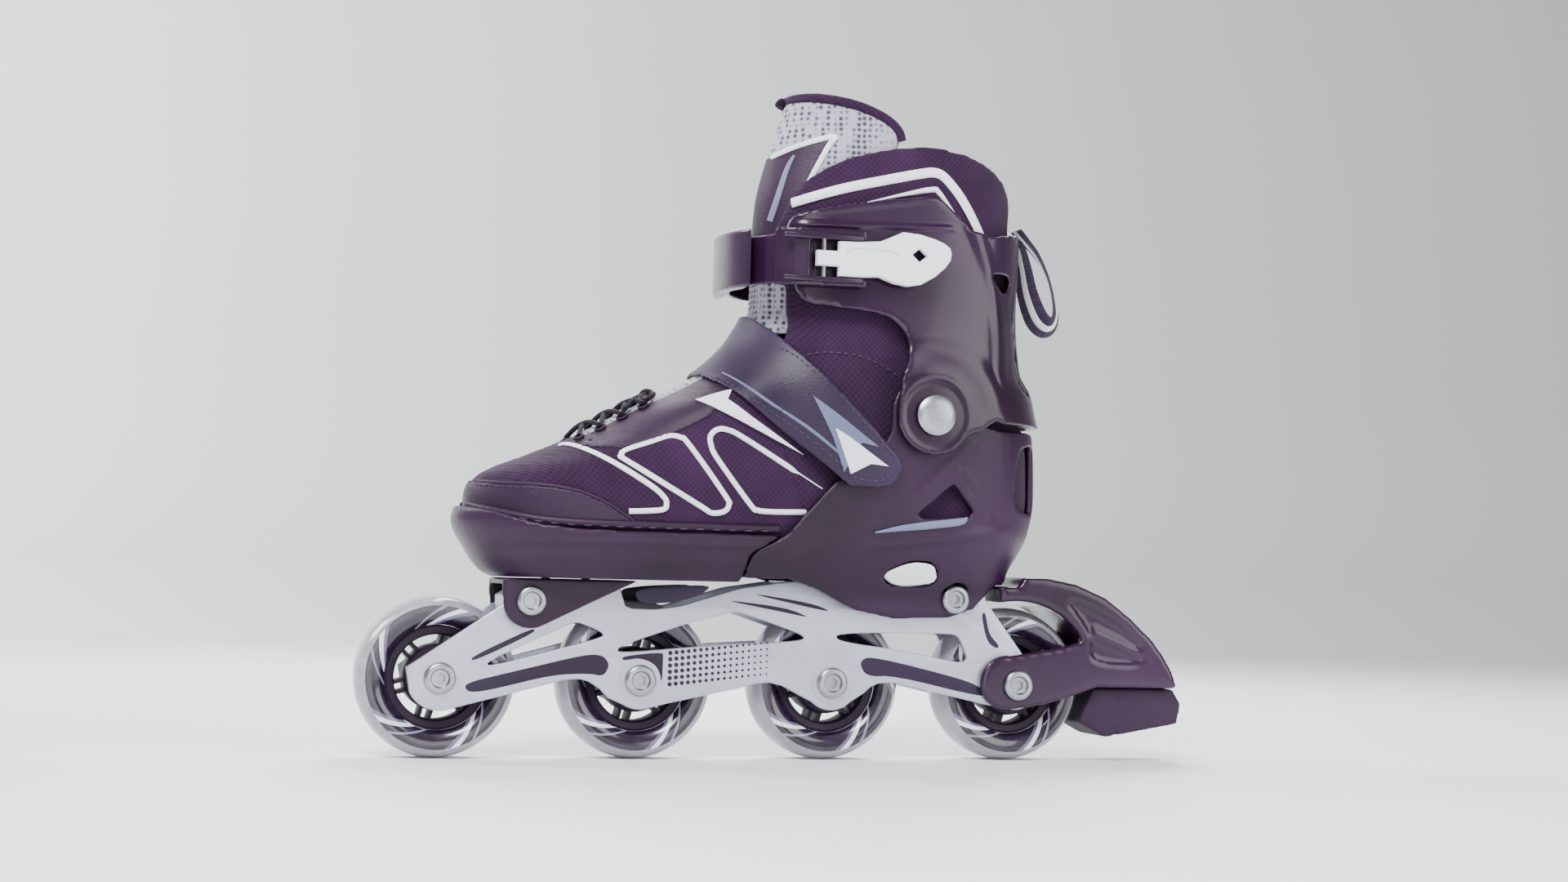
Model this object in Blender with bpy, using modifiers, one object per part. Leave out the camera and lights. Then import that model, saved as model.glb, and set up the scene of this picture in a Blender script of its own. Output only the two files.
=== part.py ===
"""Adjustable inline skate: four wheels in an aluminium frame, a plastic shell in two telescoping halves,
a pivoting cuff with a ratchet buckle, a padded textile boot and a heel brake.

All sizes below are in millimetres. x runs from the toe (-) to the heel (+), z up from the ground, and the
outer side of the foot is at -y. x = 0 is midway between the outer axles; at() moves that to the centre of
the whole skate's box, so that the model's origin is on the ground under the middle of the skate.
"""

import math

import bmesh
import bpy
from mathutils import Matrix, Vector

MM = 0.001
GAP = 0.3
SHARP_ANGLE = math.radians(35)

# Wheels and axles
WHEEL_RADIUS = 35.0
WHEEL_WIDTH = 24.0
AXLE_SPACING = 87.7
AXLE_XS = [(i - 1.5) * AXLE_SPACING for i in range(4)]
AXLE_Z = WHEEL_RADIUS
HUB_RIM_RADIUS = 22.6
BEARING_OUTER_RADIUS = 11.0
BEARING_WIDTH = 7.0
AXLE_RADIUS = 4.0

# Frame
RAIL_INNER_Y = 14.0
RAIL_THICKNESS = 3.0
RAIL_OUTER_Y = RAIL_INNER_Y + RAIL_THICKNESS
FRAME_TOP_Z = 80.0
FRONT_BOLT = (-93.5, 69.0)
REAR_BOLT = (100.0, 73.5)
FRAME_BOLT_RADIUS = 3.0

# Brake
BRAKE_END_X = 215.5
BRAKE_EAR_Y = RAIL_OUTER_Y + GAP
BRAKE_EAR_THICKNESS = 3.5
ARCH_RADIUS = 38.3

# Boot shell
SHELL_WALL = 3.0
SHELL_FLOOR_Z = 80.7
TUCK = 3.5
CUFF_PIVOT = (80.7, 155.0)
PIVOT_HEAD_Y = 48.6
SIZE_TRAVEL = 20.0
SIZE_STEP = SIZE_TRAVEL / 3
RACK_Z = 84.4
STUD_XS = (-84.0, -66.0)

# Buckle
STRAP_LOW_Z, STRAP_HIGH_Z = 211.0, 233.0
LEVER_PIN = (27.0, -45.6)
LEVER_Z = 222.0
STRAP_RIVET = (56.0, 222.0)

FRONT_X = AXLE_XS[0] - WHEEL_RADIUS
BOX_SHIFT_X = -(FRONT_X + BRAKE_END_X) / 2

# Half width of the shell's outline, by x
PLAN = [(-60, 46.5), (-20, 44.5), (20, 41), (60, 38.5), (95, 37.5), (150, 37.5)]
NOSE_X, TAIL_X = -58.0, 88.0
# By height: how far the shell's side, toe and heel stand
SHELL_SIDE_INSET = [
    (64, 17), (72, 15.5), (77, 13), (81, 10), (85, 7.5), (90, 5), (96, 2.5), (104, 0.5),
    (111, 0), (119, -1), (138, -2.2), (155, -2.6), (180, -1.2),
]  # fmt: skip
SHELL_TOE_X = [(64, -98), (77, -104), (81, -112.6), (90, -120), (104, -126.6), (113, -124.5), (180, -124)]
SHELL_HEEL_X = [(64, 124), (72, 129), (85, 131), (95, 136.5), (104, 140.6), (119, 143.2), (138, 142.8),
                (151, 141.2), (180, 137)]  # fmt: skip
CUFF_HALF_WIDTH = [(134, 45.3), (160, 45.3), (175, 44.5), (190, 42.5), (205, 41), (230, 40), (258, 39.5)]
CUFF_BACK_X = [(134, 145), (152, 144.4), (160, 142.5), (168, 140.5), (178, 134.8), (207, 132.4),
               (240, 133.4), (258, 133.4)]  # fmt: skip
CUFF_FRONT_X = 2.0
BOOT_FRONT_X = [(88, -109), (97, -114.3), (104, -119.6), (112, -120.8), (118, -119.8), (125, -113.5), (131, -99),
                (137, -85), (142.7, -72), (154.6, -50), (164, -31), (174, -15), (188, -1), (204, 6.5),
                (234, 6.5), (250, 7.5), (274, 13), (300, 20)]  # fmt: skip
BOOT_BACK_X = [(88, 127), (97, 132), (104, 136), (119, 139), (138, 138.5), (155, 136), (178, 129),
               (207, 127.5), (240, 128.5), (300, 128.5)]  # fmt: skip
BOOT_SIDE_INSET = [(88, 12.6), (97, 8.3), (104, 6), (112, 5), (160, 4.7), (200, 4.4), (300, 4.4)]
# How blunt the ends of a level outline are
BOOT_ROUND_FRONT, CUFF_ROUND_FRONT, TONGUE_ROUND_FRONT = 7.1, 11.0, 5.0
BOOT_ROUND_BACK, CUFF_ROUND_BACK = 6.8, 8.5
BLEND_POWER = 6
COLLAR_WALL = 5.0


def at(x, y, z):
    """A place in the skate's millimetres, as Blender metres with the origin under the middle."""
    return Vector(((x + BOX_SHIFT_X) * MM, y * MM, z * MM))


def look_up(table, key):
    """Straight-line value between a table's rows."""
    if key <= table[0][0]:
        return table[0][1]
    for (k0, v0), (k1, v1) in zip(table, table[1:]):
        if key <= k1:
            return v0 + (v1 - v0) * (key - k0) / (k1 - k0)
    return table[-1][1]


def smooth_step(low, high, value):
    t = min(1.0, max(0.0, (value - low) / (high - low)))
    return t * t * (3 - 2 * t)


# ---------------------------------------------------------------- scene and materials
def clear_scene():
    for obj in list(bpy.data.objects):
        bpy.data.objects.remove(obj)


def make_collection(name):
    collection = bpy.data.collections.new(name)
    bpy.context.scene.collection.children.link(collection)
    return collection


def make_material(name, colour, roughness, metallic=0.0):
    material = bpy.data.materials.new(name)
    material.use_nodes = True
    shader = material.node_tree.nodes["Principled BSDF"]
    shader.inputs["Base Color"].default_value = (*colour, 1.0)
    shader.inputs["Roughness"].default_value = roughness
    shader.inputs["Metallic"].default_value = metallic
    return material


def add_object(name, mesh, material, location=(0, 0, 0), rotation=(0, 0, 0)):
    mesh.shade_smooth()
    mesh.set_sharp_from_angle(angle=SHARP_ANGLE)
    obj = bpy.data.objects.new(name, mesh)
    obj.location = location
    obj.rotation_euler = rotation
    if material is None:
        CUTTERS.objects.link(obj)
        obj.hide_render = True
        obj.display_type = "WIRE"
    else:
        mesh.materials.clear()
        mesh.materials.append(material)
        SKATE.objects.link(obj)
    return obj


# ---------------------------------------------------------------- shapes
def mesh_from_bmesh(name, bm):
    bmesh.ops.recalc_face_normals(bm, faces=bm.faces)
    mesh = bpy.data.meshes.new(name)
    bm.to_mesh(mesh)
    bm.free()
    return mesh


def boolean(obj, other, operation):
    modifier = obj.modifiers.new(operation.lower(), "BOOLEAN")
    modifier.operation = operation
    modifier.object = other
    modifier.solver = "EXACT"
    return obj


def cut(obj, *cutters):
    for cutter in cutters:
        boolean(obj, cutter, "DIFFERENCE")
    return obj


def arc(centre, radius, start, end, steps):
    """Points on an arc in a side view, from one angle to another, in degrees from +x towards +z."""
    angles = [math.radians(start + (end - start) * i / steps) for i in range(steps + 1)]
    return [(centre[0] + radius * math.cos(a), centre[1] + radius * math.sin(a)) for a in angles]


def circle(centre, radius, steps=24):
    return arc(centre, radius, 0, 360, steps)[:-1]


def plate(name, outlines, thickness, place, rotation, material):
    """A flat plate: the first outline is its edge, the others are holes."""
    curve = bpy.data.curves.new(name, "CURVE")
    curve.dimensions = "2D"
    curve.fill_mode = "BOTH"
    curve.extrude = thickness / 2 * MM
    for outline in outlines:
        spline = curve.splines.new("POLY")
        spline.points.add(len(outline) - 1)
        for point, (u, v) in zip(spline.points, outline):
            point.co = (u * MM, v * MM, 0, 1)
        spline.use_cyclic_u = True
    flat = bpy.data.objects.new(name + "_outline", curve)
    CUTTERS.objects.link(flat)
    bpy.context.view_layer.update()
    mesh = bpy.data.meshes.new_from_object(flat.evaluated_get(bpy.context.evaluated_depsgraph_get()))
    bpy.data.objects.remove(flat)
    bm = bmesh.new()
    bm.from_mesh(mesh)
    bmesh.ops.remove_doubles(bm, verts=bm.verts, dist=1e-6)
    return add_object(name, mesh_from_bmesh(name, bm), material, place, rotation)


def side_plate(name, outlines, y_low, y_high, material):
    """A plate that stands along the skate, from (x, z) outlines."""
    place = at(0, (y_low + y_high) / 2, 0)
    return plate(name, outlines, y_high - y_low, place, (math.pi / 2, 0, 0), material)


def level_plate(name, outline, z_low, z_high, material):
    """A plate that lies level, from an (x, y) outline."""
    place = at(0, 0, (z_low + z_high) / 2)
    return plate(name, [outline], z_high - z_low, place, (0, 0, 0), material)


def box(name, low, high, material=None):
    bm = bmesh.new()
    bmesh.ops.create_cube(bm, size=1.0)
    size = [(b - a) * MM for a, b in zip(low, high)]
    bmesh.ops.scale(bm, vec=size, verts=bm.verts)
    centre = at(*[(a + b) / 2 for a, b in zip(low, high)])
    return add_object(name, mesh_from_bmesh(name, bm), material, centre)


def rod(name, x, z, y_low, y_high, radius, material=None, steps=20):
    """A cylinder across the skate."""
    bm = bmesh.new()
    bmesh.ops.create_cone(
        bm, cap_ends=True, segments=steps, radius1=radius * MM, radius2=radius * MM,
        depth=(y_high - y_low) * MM, matrix=Matrix.Rotation(math.pi / 2, 4, "X"),
    )  # fmt: skip
    return add_object(name, mesh_from_bmesh(name, bm), material, at(x, (y_low + y_high) / 2, z))


def turned(name, profile, place, material, steps=32):
    """A (radius, y) profile turned about an axis across the skate, which passes through place."""
    pairs = list(zip(profile, profile[1:] + profile[:1]))
    if sum(r0 * y1 - r1 * y0 for (r0, y0), (r1, y1) in pairs) > 0:
        profile = profile[::-1]
    mesh = bpy.data.meshes.new(name)
    count = len(profile)
    edges = [(i, (i + 1) % count) for i in range(count) if profile[i][0] or profile[(i + 1) % count][0]]
    mesh.from_pydata([(r * MM, 0, y * MM) for r, y in profile], edges, [])
    obj = add_object(name, mesh, material, place, (-math.pi / 2, 0, 0))
    screw = obj.modifiers.new("turn", "SCREW")
    screw.steps = screw.render_steps = steps
    screw.use_merge_vertices = True
    screw.merge_threshold = 1e-6
    return obj


def loft(name, loops, material=None):
    """A closed solid through loops that all have the same number of points."""
    bm = bmesh.new()
    rows = [[bm.verts.new(at(*point)) for point in loop] for loop in loops]
    for row, following in zip(rows, rows[1:]):
        for j in range(len(row)):
            k = (j + 1) % len(row)
            bm.faces.new((row[j], row[k], following[k]))
            bm.faces.new((row[j], following[k], following[j]))
    bm.faces.new(rows[0])
    bm.faces.new(rows[-1])
    return add_object(name, mesh_from_bmesh(name, bm), material)


def closed_loop(xs, half_width, z):
    """A level loop, from the foremost x back along -y and forward again along +y."""
    out = [(x, -half_width(x), z) for x in xs]
    back = [(x, half_width(x), z) for x in reversed(xs[1:-1])]
    return out + back


# ---------------------------------------------------------------- the boot's surfaces
def shell_loop(z, inset=0.0, z_place=None):
    """The plastic shell's outline at height z, moved in by inset."""
    toe, heel = look_up(SHELL_TOE_X, z) + inset, look_up(SHELL_HEEL_X, z) - inset
    side = look_up(SHELL_SIDE_INSET, z) + inset

    def half_width(x):
        width = look_up(PLAN, x) - side
        if x < NOSE_X:
            width *= max(0.0, 1 - ((NOSE_X - x) / (NOSE_X - toe)) ** 2.5) ** 0.5
        if x > TAIL_X:
            width *= max(0.0, 1 - ((x - TAIL_X) / (heel - TAIL_X)) ** 2.4) ** 0.5
        return width

    turns = [math.radians(a) for a in (90, 72, 56, 40, 22)]
    nose = [NOSE_X - (NOSE_X - toe) * math.sin(a) for a in turns]
    tail = [TAIL_X + (heel - TAIL_X) * math.sin(a) for a in reversed(turns)]
    return closed_loop(nose + [NOSE_X, -20, 20, 60, TAIL_X] + tail, half_width, z_place or z)


def rounded_width(x, front, back, widest, rounds):
    """Half width at x of an outline that is rounded at both ends."""
    nose = rounds[0] * math.sqrt(max(0.0, x - front))
    tail = rounds[1] * math.sqrt(max(0.0, back - x))
    if min(nose, tail) < 1e-3:
        return 0.0
    return sum(width**-BLEND_POWER for width in (widest, nose, tail)) ** (-1 / BLEND_POWER)


def rounded_loop(front, back, side, z, rounds, steps=11):
    """A level loop, which is side(x) wide between its rounded ends."""
    xs = [front + (back - front) * (1 - math.cos(math.pi * i / steps)) / 2 for i in range(steps + 1)]
    return closed_loop(xs, lambda x: rounded_width(x, front, back, side(x), rounds), z)


def boot_loop(z, inset=0.0, z_place=None, lift=None, steps=11):
    """The textile boot's outline at height z, moved in by inset; lift(x) moves its sides out."""
    side_inset = look_up(BOOT_SIDE_INSET, z) + inset
    front, back = look_up(BOOT_FRONT_X, z) + inset, look_up(BOOT_BACK_X, z) - inset

    def side(x):
        return look_up(PLAN, x) - side_inset + (lift(x) if lift else 0)

    return rounded_loop(front, back, side, z_place or z, (BOOT_ROUND_FRONT, BOOT_ROUND_BACK), steps)


def tongue_loop(z, inset=0.0):
    """The tongue's outline inside the collar; at the front it fills the collar's opening."""
    side_inset = look_up(BOOT_SIDE_INSET, z) + COLLAR_WALL + 0.9 + inset
    front, back = look_up(BOOT_FRONT_X, z) + 0.5 + inset, look_up(BOOT_BACK_X, z) - 8 - inset
    rounds = (TONGUE_ROUND_FRONT, BOOT_ROUND_BACK)
    return rounded_loop(front, back, lambda x: look_up(PLAN, x) - side_inset, z, rounds)


def cuff_loop(z, inset=0.0, front=CUFF_FRONT_X):
    half, back = look_up(CUFF_HALF_WIDTH, z) - inset, look_up(CUFF_BACK_X, z) - inset
    return rounded_loop(front + inset, back, lambda x: half, z, (CUFF_ROUND_FRONT, CUFF_ROUND_BACK))


def layer(name, outer_loops, inner_loops, profile, material):
    """The wall between two lofts, kept inside a side profile."""
    wall = side_plate(name, [profile], -60, 60, material)
    boolean(wall, loft(name + "_outer", outer_loops), "INTERSECT")
    return cut(wall, loft(name + "_inner", inner_loops))


# ---------------------------------------------------------------- wheels
def make_wheel(place_name, x):
    place = at(x, 0, AXLE_Z)
    half = WHEEL_WIDTH / 2
    seat = HUB_RIM_RADIUS + GAP
    tyre = [(seat, -8.5), (27.0, -11.6), (30.0, -half), (33.0, -9.5), (WHEEL_RADIUS, -2.5),
            (WHEEL_RADIUS, 2.5), (33.0, 9.5), (30.0, half), (27.0, 11.6), (seat, 8.5)]  # fmt: skip
    turned(f"{place_name}_tyre", tyre, place, URETHANE, 24)

    rim = [(19.0, -7.5), (HUB_RIM_RADIUS, -7.5), (HUB_RIM_RADIUS, 7.5), (19.0, 7.5)]
    shoulder = half - BEARING_WIDTH
    seat = BEARING_OUTER_RADIUS + GAP
    core = [
        (seat, -half), (13.8, -half), (13.8, half), (seat, half),
        (seat, shoulder), (9.0, shoulder), (9.0, -shoulder), (seat, -shoulder),
    ]  # fmt: skip
    hub = turned(f"{place_name}_hub", rim, place, HUB_PLASTIC, 24)
    boolean(hub, turned(f"{place_name}_core", core, place, None, 12), "UNION")
    spokes = bmesh.new()
    for i in range(6):
        turn = Matrix.Rotation(math.radians(60 * i), 4, "Y")
        shape = turn @ Matrix.Translation((16.4 * MM, 0, 0)) @ Matrix.Diagonal((6.6 * MM, 9 * MM, 3.2 * MM, 1))
        bmesh.ops.create_cube(spokes, size=1.0, matrix=shape)
    spoke_mesh = mesh_from_bmesh(f"{place_name}_spokes", spokes)
    boolean(hub, add_object(f"{place_name}_spokes", spoke_mesh, None, place), "UNION")

    for side, end in ((-1, "outer"), (1, "inner")):
        low, high = sorted((side * (shoulder + GAP), side * half))
        bore = AXLE_RADIUS + GAP
        profile = [(bore, low), (BEARING_OUTER_RADIUS, low), (BEARING_OUTER_RADIUS, high), (bore, high)]
        turned(f"{place_name}_bearing_{end}", profile, place, STEEL, 12)


def make_axle(number, x):
    """The two-part axle, screwed up as one, and the tube that keeps the two bearings apart."""
    place = at(x, 0, AXLE_Z)
    shoulder = WHEEL_WIDTH / 2 - BEARING_WIDTH
    bore = AXLE_RADIUS + GAP
    spacer = [(bore, -shoulder), (5.6, -shoulder), (5.6, shoulder), (bore, shoulder)]
    turned(f"wheel_{number}_spacer", spacer, place, STEEL, 12)
    # The rear axle also holds the ears of the brake arm.
    outer = RAIL_OUTER_Y + GAP
    if number == 4:
        outer = BRAKE_EAR_Y + BRAKE_EAR_THICKNESS + GAP
    end = [(AXLE_RADIUS, outer), (7.0, outer), (7.0, outer + 1.2), (5.6, outer + 2.4), (2.5, outer + 2.4),
           (2.5, outer + 0.8), (0, outer + 0.8)]  # fmt: skip
    turned(f"axle_{number}", end + [(r, -y) for r, y in reversed(end)], place, STEEL, 12)


# ---------------------------------------------------------------- frame and brake
def rail_outline():
    front, second, third, rear = [(x, AXLE_Z) for x in AXLE_XS]
    return (
        arc(front, 14.0, 205, 280, 6)
        + [(-82.7, 33.3), (-74.2, 35.1), (-66.6, 34.2), (-57.7, 27.2)]
        + arc(second, 12.8, 240, 290, 4)
        + [(-31.7, 24.9), (2.6, 32.4), (15, 34.7), (21, 33.3)]
        + arc(third, 12.4, 225, 315, 5)
        + [(59.3, 30.4), (66.1, 34.9), (73.1, 35.4), (117.6, 25.8)]
        + arc(rear, 11.5, 250, 400, 8)
        + [(116.6, 73.4), (115.5, FRAME_TOP_Z), (30, FRAME_TOP_Z), (16.8, 79), (0.3, 76.4), (-26.6, 68)]
        + [(-48, 66.5), (-51.2, 67.5), (-53.6, 75)]
        + arc(FRONT_BOLT, 6.5, 80, 180, 5)
        + [(-106, 66.5), (-146, 39.5)]
    )


RAIL_WINDOWS = [
    [(-112.2, 41.9), (-76.3, 58.8), (-73.4, 59.7), (-70.6, 59.6), (-60.7, 55.5), (-61, 53.4), (-109.3, 40.3)],
    [(-54, 49.6), (-20.1, 61.2), (-1.6, 65.9), (2, 65.4), (30.7, 56), (30.4, 53.4), (-12.4, 50.9), (-53.9, 46.7)],
    [(45.9, 57.3), (100.3, 57.9), (104, 56.4), (105.5, 53.5), (109.7, 43.5), (79, 49.8), (46, 53.7)],
]  # fmt: skip


def make_frame():
    bolts = [circle((x, z), FRAME_BOLT_RADIUS + GAP, 12) for x, z in (FRONT_BOLT, REAR_BOLT)]
    outlines = [rail_outline()] + RAIL_WINDOWS + bolts
    for side, end in ((-1, "outer"), (1, "inner")):
        low, high = sorted((side * RAIL_INNER_Y, side * RAIL_OUTER_Y))
        rail = side_plate(f"frame_rail_{end}", outlines, low, high, ALUMINIUM)
        # A boss round each axle meets the bearing's inner ring.
        low, high = sorted((side * (WHEEL_WIDTH / 2 + GAP), side * (RAIL_INNER_Y + 1)))
        for i, x in enumerate(AXLE_XS):
            boolean(rail, rod(f"boss_{end}_{i}", x, AXLE_Z, low, high, 6.2, None, 12), "UNION")
            cut(rail, rod(f"axle_hole_{end}_{i}", x, AXLE_Z, -30, 30, AXLE_RADIUS + GAP, None, 12))
    reach = RAIL_INNER_Y - GAP
    front_block = [(-104, 62.5), (-84, 62.5), (-84, 75), (-98, 75), (-104, 71)]
    side_plate("frame_bridge_front", [front_block, bolts[0]], -reach, reach, ALUMINIUM)
    rear_block = [(88, 68.5), (113, 68.5), (113, FRAME_TOP_Z), (22, FRAME_TOP_Z), (22, 77.2), (88, 77.2)]
    side_plate("frame_bridge_rear", [rear_block, bolts[1]], -reach, reach, ALUMINIUM)


def make_frame_bolts(name, x, z, head_y):
    """A bolt across the frame with a dished head on each side."""
    end = [(FRAME_BOLT_RADIUS, head_y), (6.6, head_y), (6.6, head_y + 1.4), (5.6, head_y + 2.4),
           (2.4, head_y + 2.4), (2.4, head_y + 1.0), (0, head_y + 1.0)]  # fmt: skip
    turned(name, end + [(r, -y) for r, y in reversed(end)], at(x, 0, z), STEEL, 12)


def make_brake():
    rear = (AXLE_XS[3], AXLE_Z)
    arm = (
        arc((126.3, 36), 12.5, 80, 285, 9)
        + [(144.7, 26), (160, 30.5), (170.8, 34.2), (211.3, 34.2), (208.5, 42), (204.2, 49), (198.2, 56.5)]
        + [(187.1, 66.5), (174.9, 75.5), (160, 81.5), (145, 84.2), (134, 84.2), (132.3, 79.8), (122.3, 79.8)]
        + arc(rear, ARCH_RADIUS, 103, 35, 8)
        + [(162.6, 55.2), (151.4, 52.3)]
    )
    ear_y = BRAKE_EAR_Y + BRAKE_EAR_THICKNESS
    body = side_plate("brake_arm", [arm, circle(rear, AXLE_RADIUS + GAP, 12)], -ear_y, ear_y, BLACK_PLASTIC)
    # The fork between the ears takes the rear wheel and the frame.
    fork = arc(rear, ARCH_RADIUS - 0.1, 112, 400, 20) + [(161, 60), (150, 70), (135, 73)]
    cut(body, side_plate("brake_fork", [fork], -BRAKE_EAR_Y, BRAKE_EAR_Y, None))

    pad = [(171.2, 33.8), (211, 33.8), (BRAKE_END_X, 26.8), (213.5, 17.6), (177.8, 11.2), (164.5, 18), (168, 27)]
    side_plate("brake_pad", [pad], -15.5, 15.5, RUBBER)


# ---------------------------------------------------------------- shell
def make_toe_shell():
    rim = [(-130, 110), (-115, 108.5), (-95, 102.5), (-60, 100), (13.5, 100)]
    front = [(-130, 76)] + rim + [(-0.9, 91), (-3.3, 79)]
    levels = [79, 81, 85, 90, 96, 104, 113]
    toe = layer(
        "toe_shell",
        [shell_loop(z) for z in levels],
        [shell_loop(z, TUCK + 0.8, z + 3) for z in levels],
        front,
        BLACK_PLASTIC,
    )
    # The rear of the toe half slides inside the heel half.
    tuck_levels = [RACK_Z, 87, 92, 98]
    tuck = layer(
        "toe_tuck",
        [shell_loop(z, TUCK) for z in tuck_levels],
        [shell_loop(z, TUCK + 2, z + 2) for z in tuck_levels],
        [(-15, 80), (-15, 96.5), (36, 96.5), (36, 80)],
        None,
    )
    boolean(toe, tuck, "UNION")
    boolean(toe, box("toe_riser", (-20, -30, 80.5), (-5, 30, RACK_Z + 1.5)), "UNION")
    rack = box("toe_rack", (30, -9, RACK_Z), (98, 9, RACK_Z + 1.8))
    boolean(toe, rack, "UNION")
    for i in range(4):
        x = 73 + i * SIZE_STEP
        cut(toe, box(f"rack_notch_{i}", (x - 2, 7, RACK_Z - 1), (x + 2, 10, RACK_Z + 3)))
    slot_start, slot_end = STUD_XS[0] - 2.6, STUD_XS[1] + SIZE_TRAVEL + 2.6
    cut(toe, box("floor_slot", (slot_start, -2.6, 78), (slot_end, 2.6, 84)))


def make_heel_shell():
    ears = [
        (129.5, SHELL_FLOOR_Z), (121, 80), (120, 71), (109, 68.5), (97.6, 65), (71, 64.2), (52.4, 67.8), (33.8, 76.4),
    ]  # fmt: skip
    arm = [(-2.4, SHELL_FLOOR_Z), (-0.1, 91), (15.3, 100.5), (33, 120.5), (40, 128), (57, 138.5), (61.2, 146)]
    lobe = arc(CUFF_PIVOT, 19.0, 185, 20, 9)
    back = [(104, 155), (109, 151), (116, 150.4), (148, 150.4), (148, SHELL_FLOOR_Z)]
    profile = arm + lobe + back + ears + [(20, SHELL_FLOOR_Z)]
    heel = layer(
        "heel_shell",
        [shell_loop(z) for z in (64, 72, 77, 81, 85, 90, 96, 104, 119, 138, 155, 176)],
        [shell_loop(z, SHELL_WALL) for z in (84, 85, 90, 96, 104, 119, 138, 155, 178)],
        profile,
        BLACK_PLASTIC,
    )
    channel = RAIL_OUTER_Y + GAP
    cut(heel, box("frame_channel", (-10, -channel, 50), (150, channel, FRAME_TOP_Z + GAP)))
    cut(heel, side_plate("side_window", [[(75.8, 110), (92.5, 123.5), (102, 111.5)]], -60, 60, None))
    for side in (-1, 1):
        low, high = sorted((side * 11, side * 60))
        hole = [(124, 118), (128, 114), (150, 112), (150, 144), (129, 144), (125.5, 137)]
        cut(heel, side_plate(f"back_window_{side}", [hole], low, high, None))
    cut(heel, rod("rear_bolt_hole", *REAR_BOLT, -50, 50, FRAME_BOLT_RADIUS + GAP, None, 12))
    for side in (-1, 1):
        low, high = sorted((side * 21.6, side * 50))
        cut(heel, rod(f"rear_bolt_recess_{side}", *REAR_BOLT, low, high, 7.2, None, 16))
    cut(heel, rod("pivot_hole", *CUFF_PIVOT, -60, 60, 4.0 + GAP, None, 16))
    cut(heel, side_plate("button_hole", [button_outline(0.6)], -50, -21.4, None))


def button_outline(grow=0.0):
    return [
        (61.5 - grow, 84), (70 - grow, 78.6 - grow), (87.5 + grow, 80.3 - grow), (88.5 + grow, 84),
        (85.5 + grow, 89.2 + grow), (75, 90 + grow),
    ]  # fmt: skip


def make_size_button():
    """The button on the outer side, with a stem over the rack and a tooth on the rack's far side."""
    button = side_plate("size_button", [button_outline()], -36.5, -25, WHITE_PLASTIC)
    plain = [shell_loop(z, -1.2) for z in (76, 81, 85, 90, 96)]
    boolean(button, loft("button_face", plain), "INTERSECT")
    stem_low, stem_high = RACK_Z + 2.2, RACK_Z + 4.2
    boolean(button, box("button_stem", (71.5, -28, stem_low), (74.5, 12.5, stem_high)), "UNION")
    boolean(button, box("button_tooth", (71.7, 9.4, RACK_Z + 0.2), (74.3, 12.5, stem_high - 0.5)), "UNION")
    # Steel leaf that pushes the button out again.
    leaf = [(74.5 + GAP + 1, RACK_Z + 2.2), (88, RACK_Z + 2.2), (88, RACK_Z + 4), (74.5 + GAP + 1, RACK_Z + 4)]
    side_plate("button_leaf_spring", [leaf], -20, -19.4, STEEL)


def make_sole():
    """The plate that joins both halves' floors to the frame, with the mount under the toe."""
    ear = arc(FRONT_BOLT, 12.0, 170, 300, 8) + [(-54, 75), (-46, 78.6), (-106, 78.6), (-106, 71)]
    hole = circle(FRONT_BOLT, FRAME_BOLT_RADIUS + GAP, 12)
    mount_y = RAIL_OUTER_Y + GAP + 3.5
    mount = side_plate("front_mount", [ear, hole], -mount_y, mount_y, BLACK_PLASTIC)
    cut(mount, box("mount_channel", (-120, -RAIL_OUTER_Y - GAP, 50), (-40, RAIL_OUTER_Y + GAP, 75.8)))

    plate_low, plate_high = 89.2, 91.4
    half = [(-98, 8), (-92, 18), (60, 20), (106, 18), (114, 8)]
    outline = half + [(x, -y) for x, y in reversed(half)]
    plate = level_plate("sole_plate", outline, plate_low, plate_high, BLACK_PLASTIC)
    for end, x in zip(("front", "rear"), STUD_XS):
        cut(mount, upright(f"mount_hole_{end}", x, 0, 70, 80, 2.3))
        cut(plate, upright(f"plate_hole_{end}", x, 0, 80, 95, 2.3))
        upright(f"sole_stud_{end}", x, 0, 76.2, 91.2, 2.0, STEEL)
    half = [(-104, 6), (-98, 14), (-88, 20), (-55, 27), (40, 22), (100, 20), (111, 12), (115, 5)]
    insole = half + [(x, -y) for x, y in reversed(half)]
    level_plate("insole", insole, plate_high + 0.4, plate_high + 4.4, LINING)


def upright(name, x, y, z_low, z_high, radius, material=None):
    bm = bmesh.new()
    depth = (z_high - z_low) * MM
    bmesh.ops.create_cone(bm, cap_ends=True, segments=12, radius1=radius * MM, radius2=radius * MM, depth=depth)
    return add_object(name, mesh_from_bmesh(name, bm), material, at(x, y, (z_low + z_high) / 2))


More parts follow.
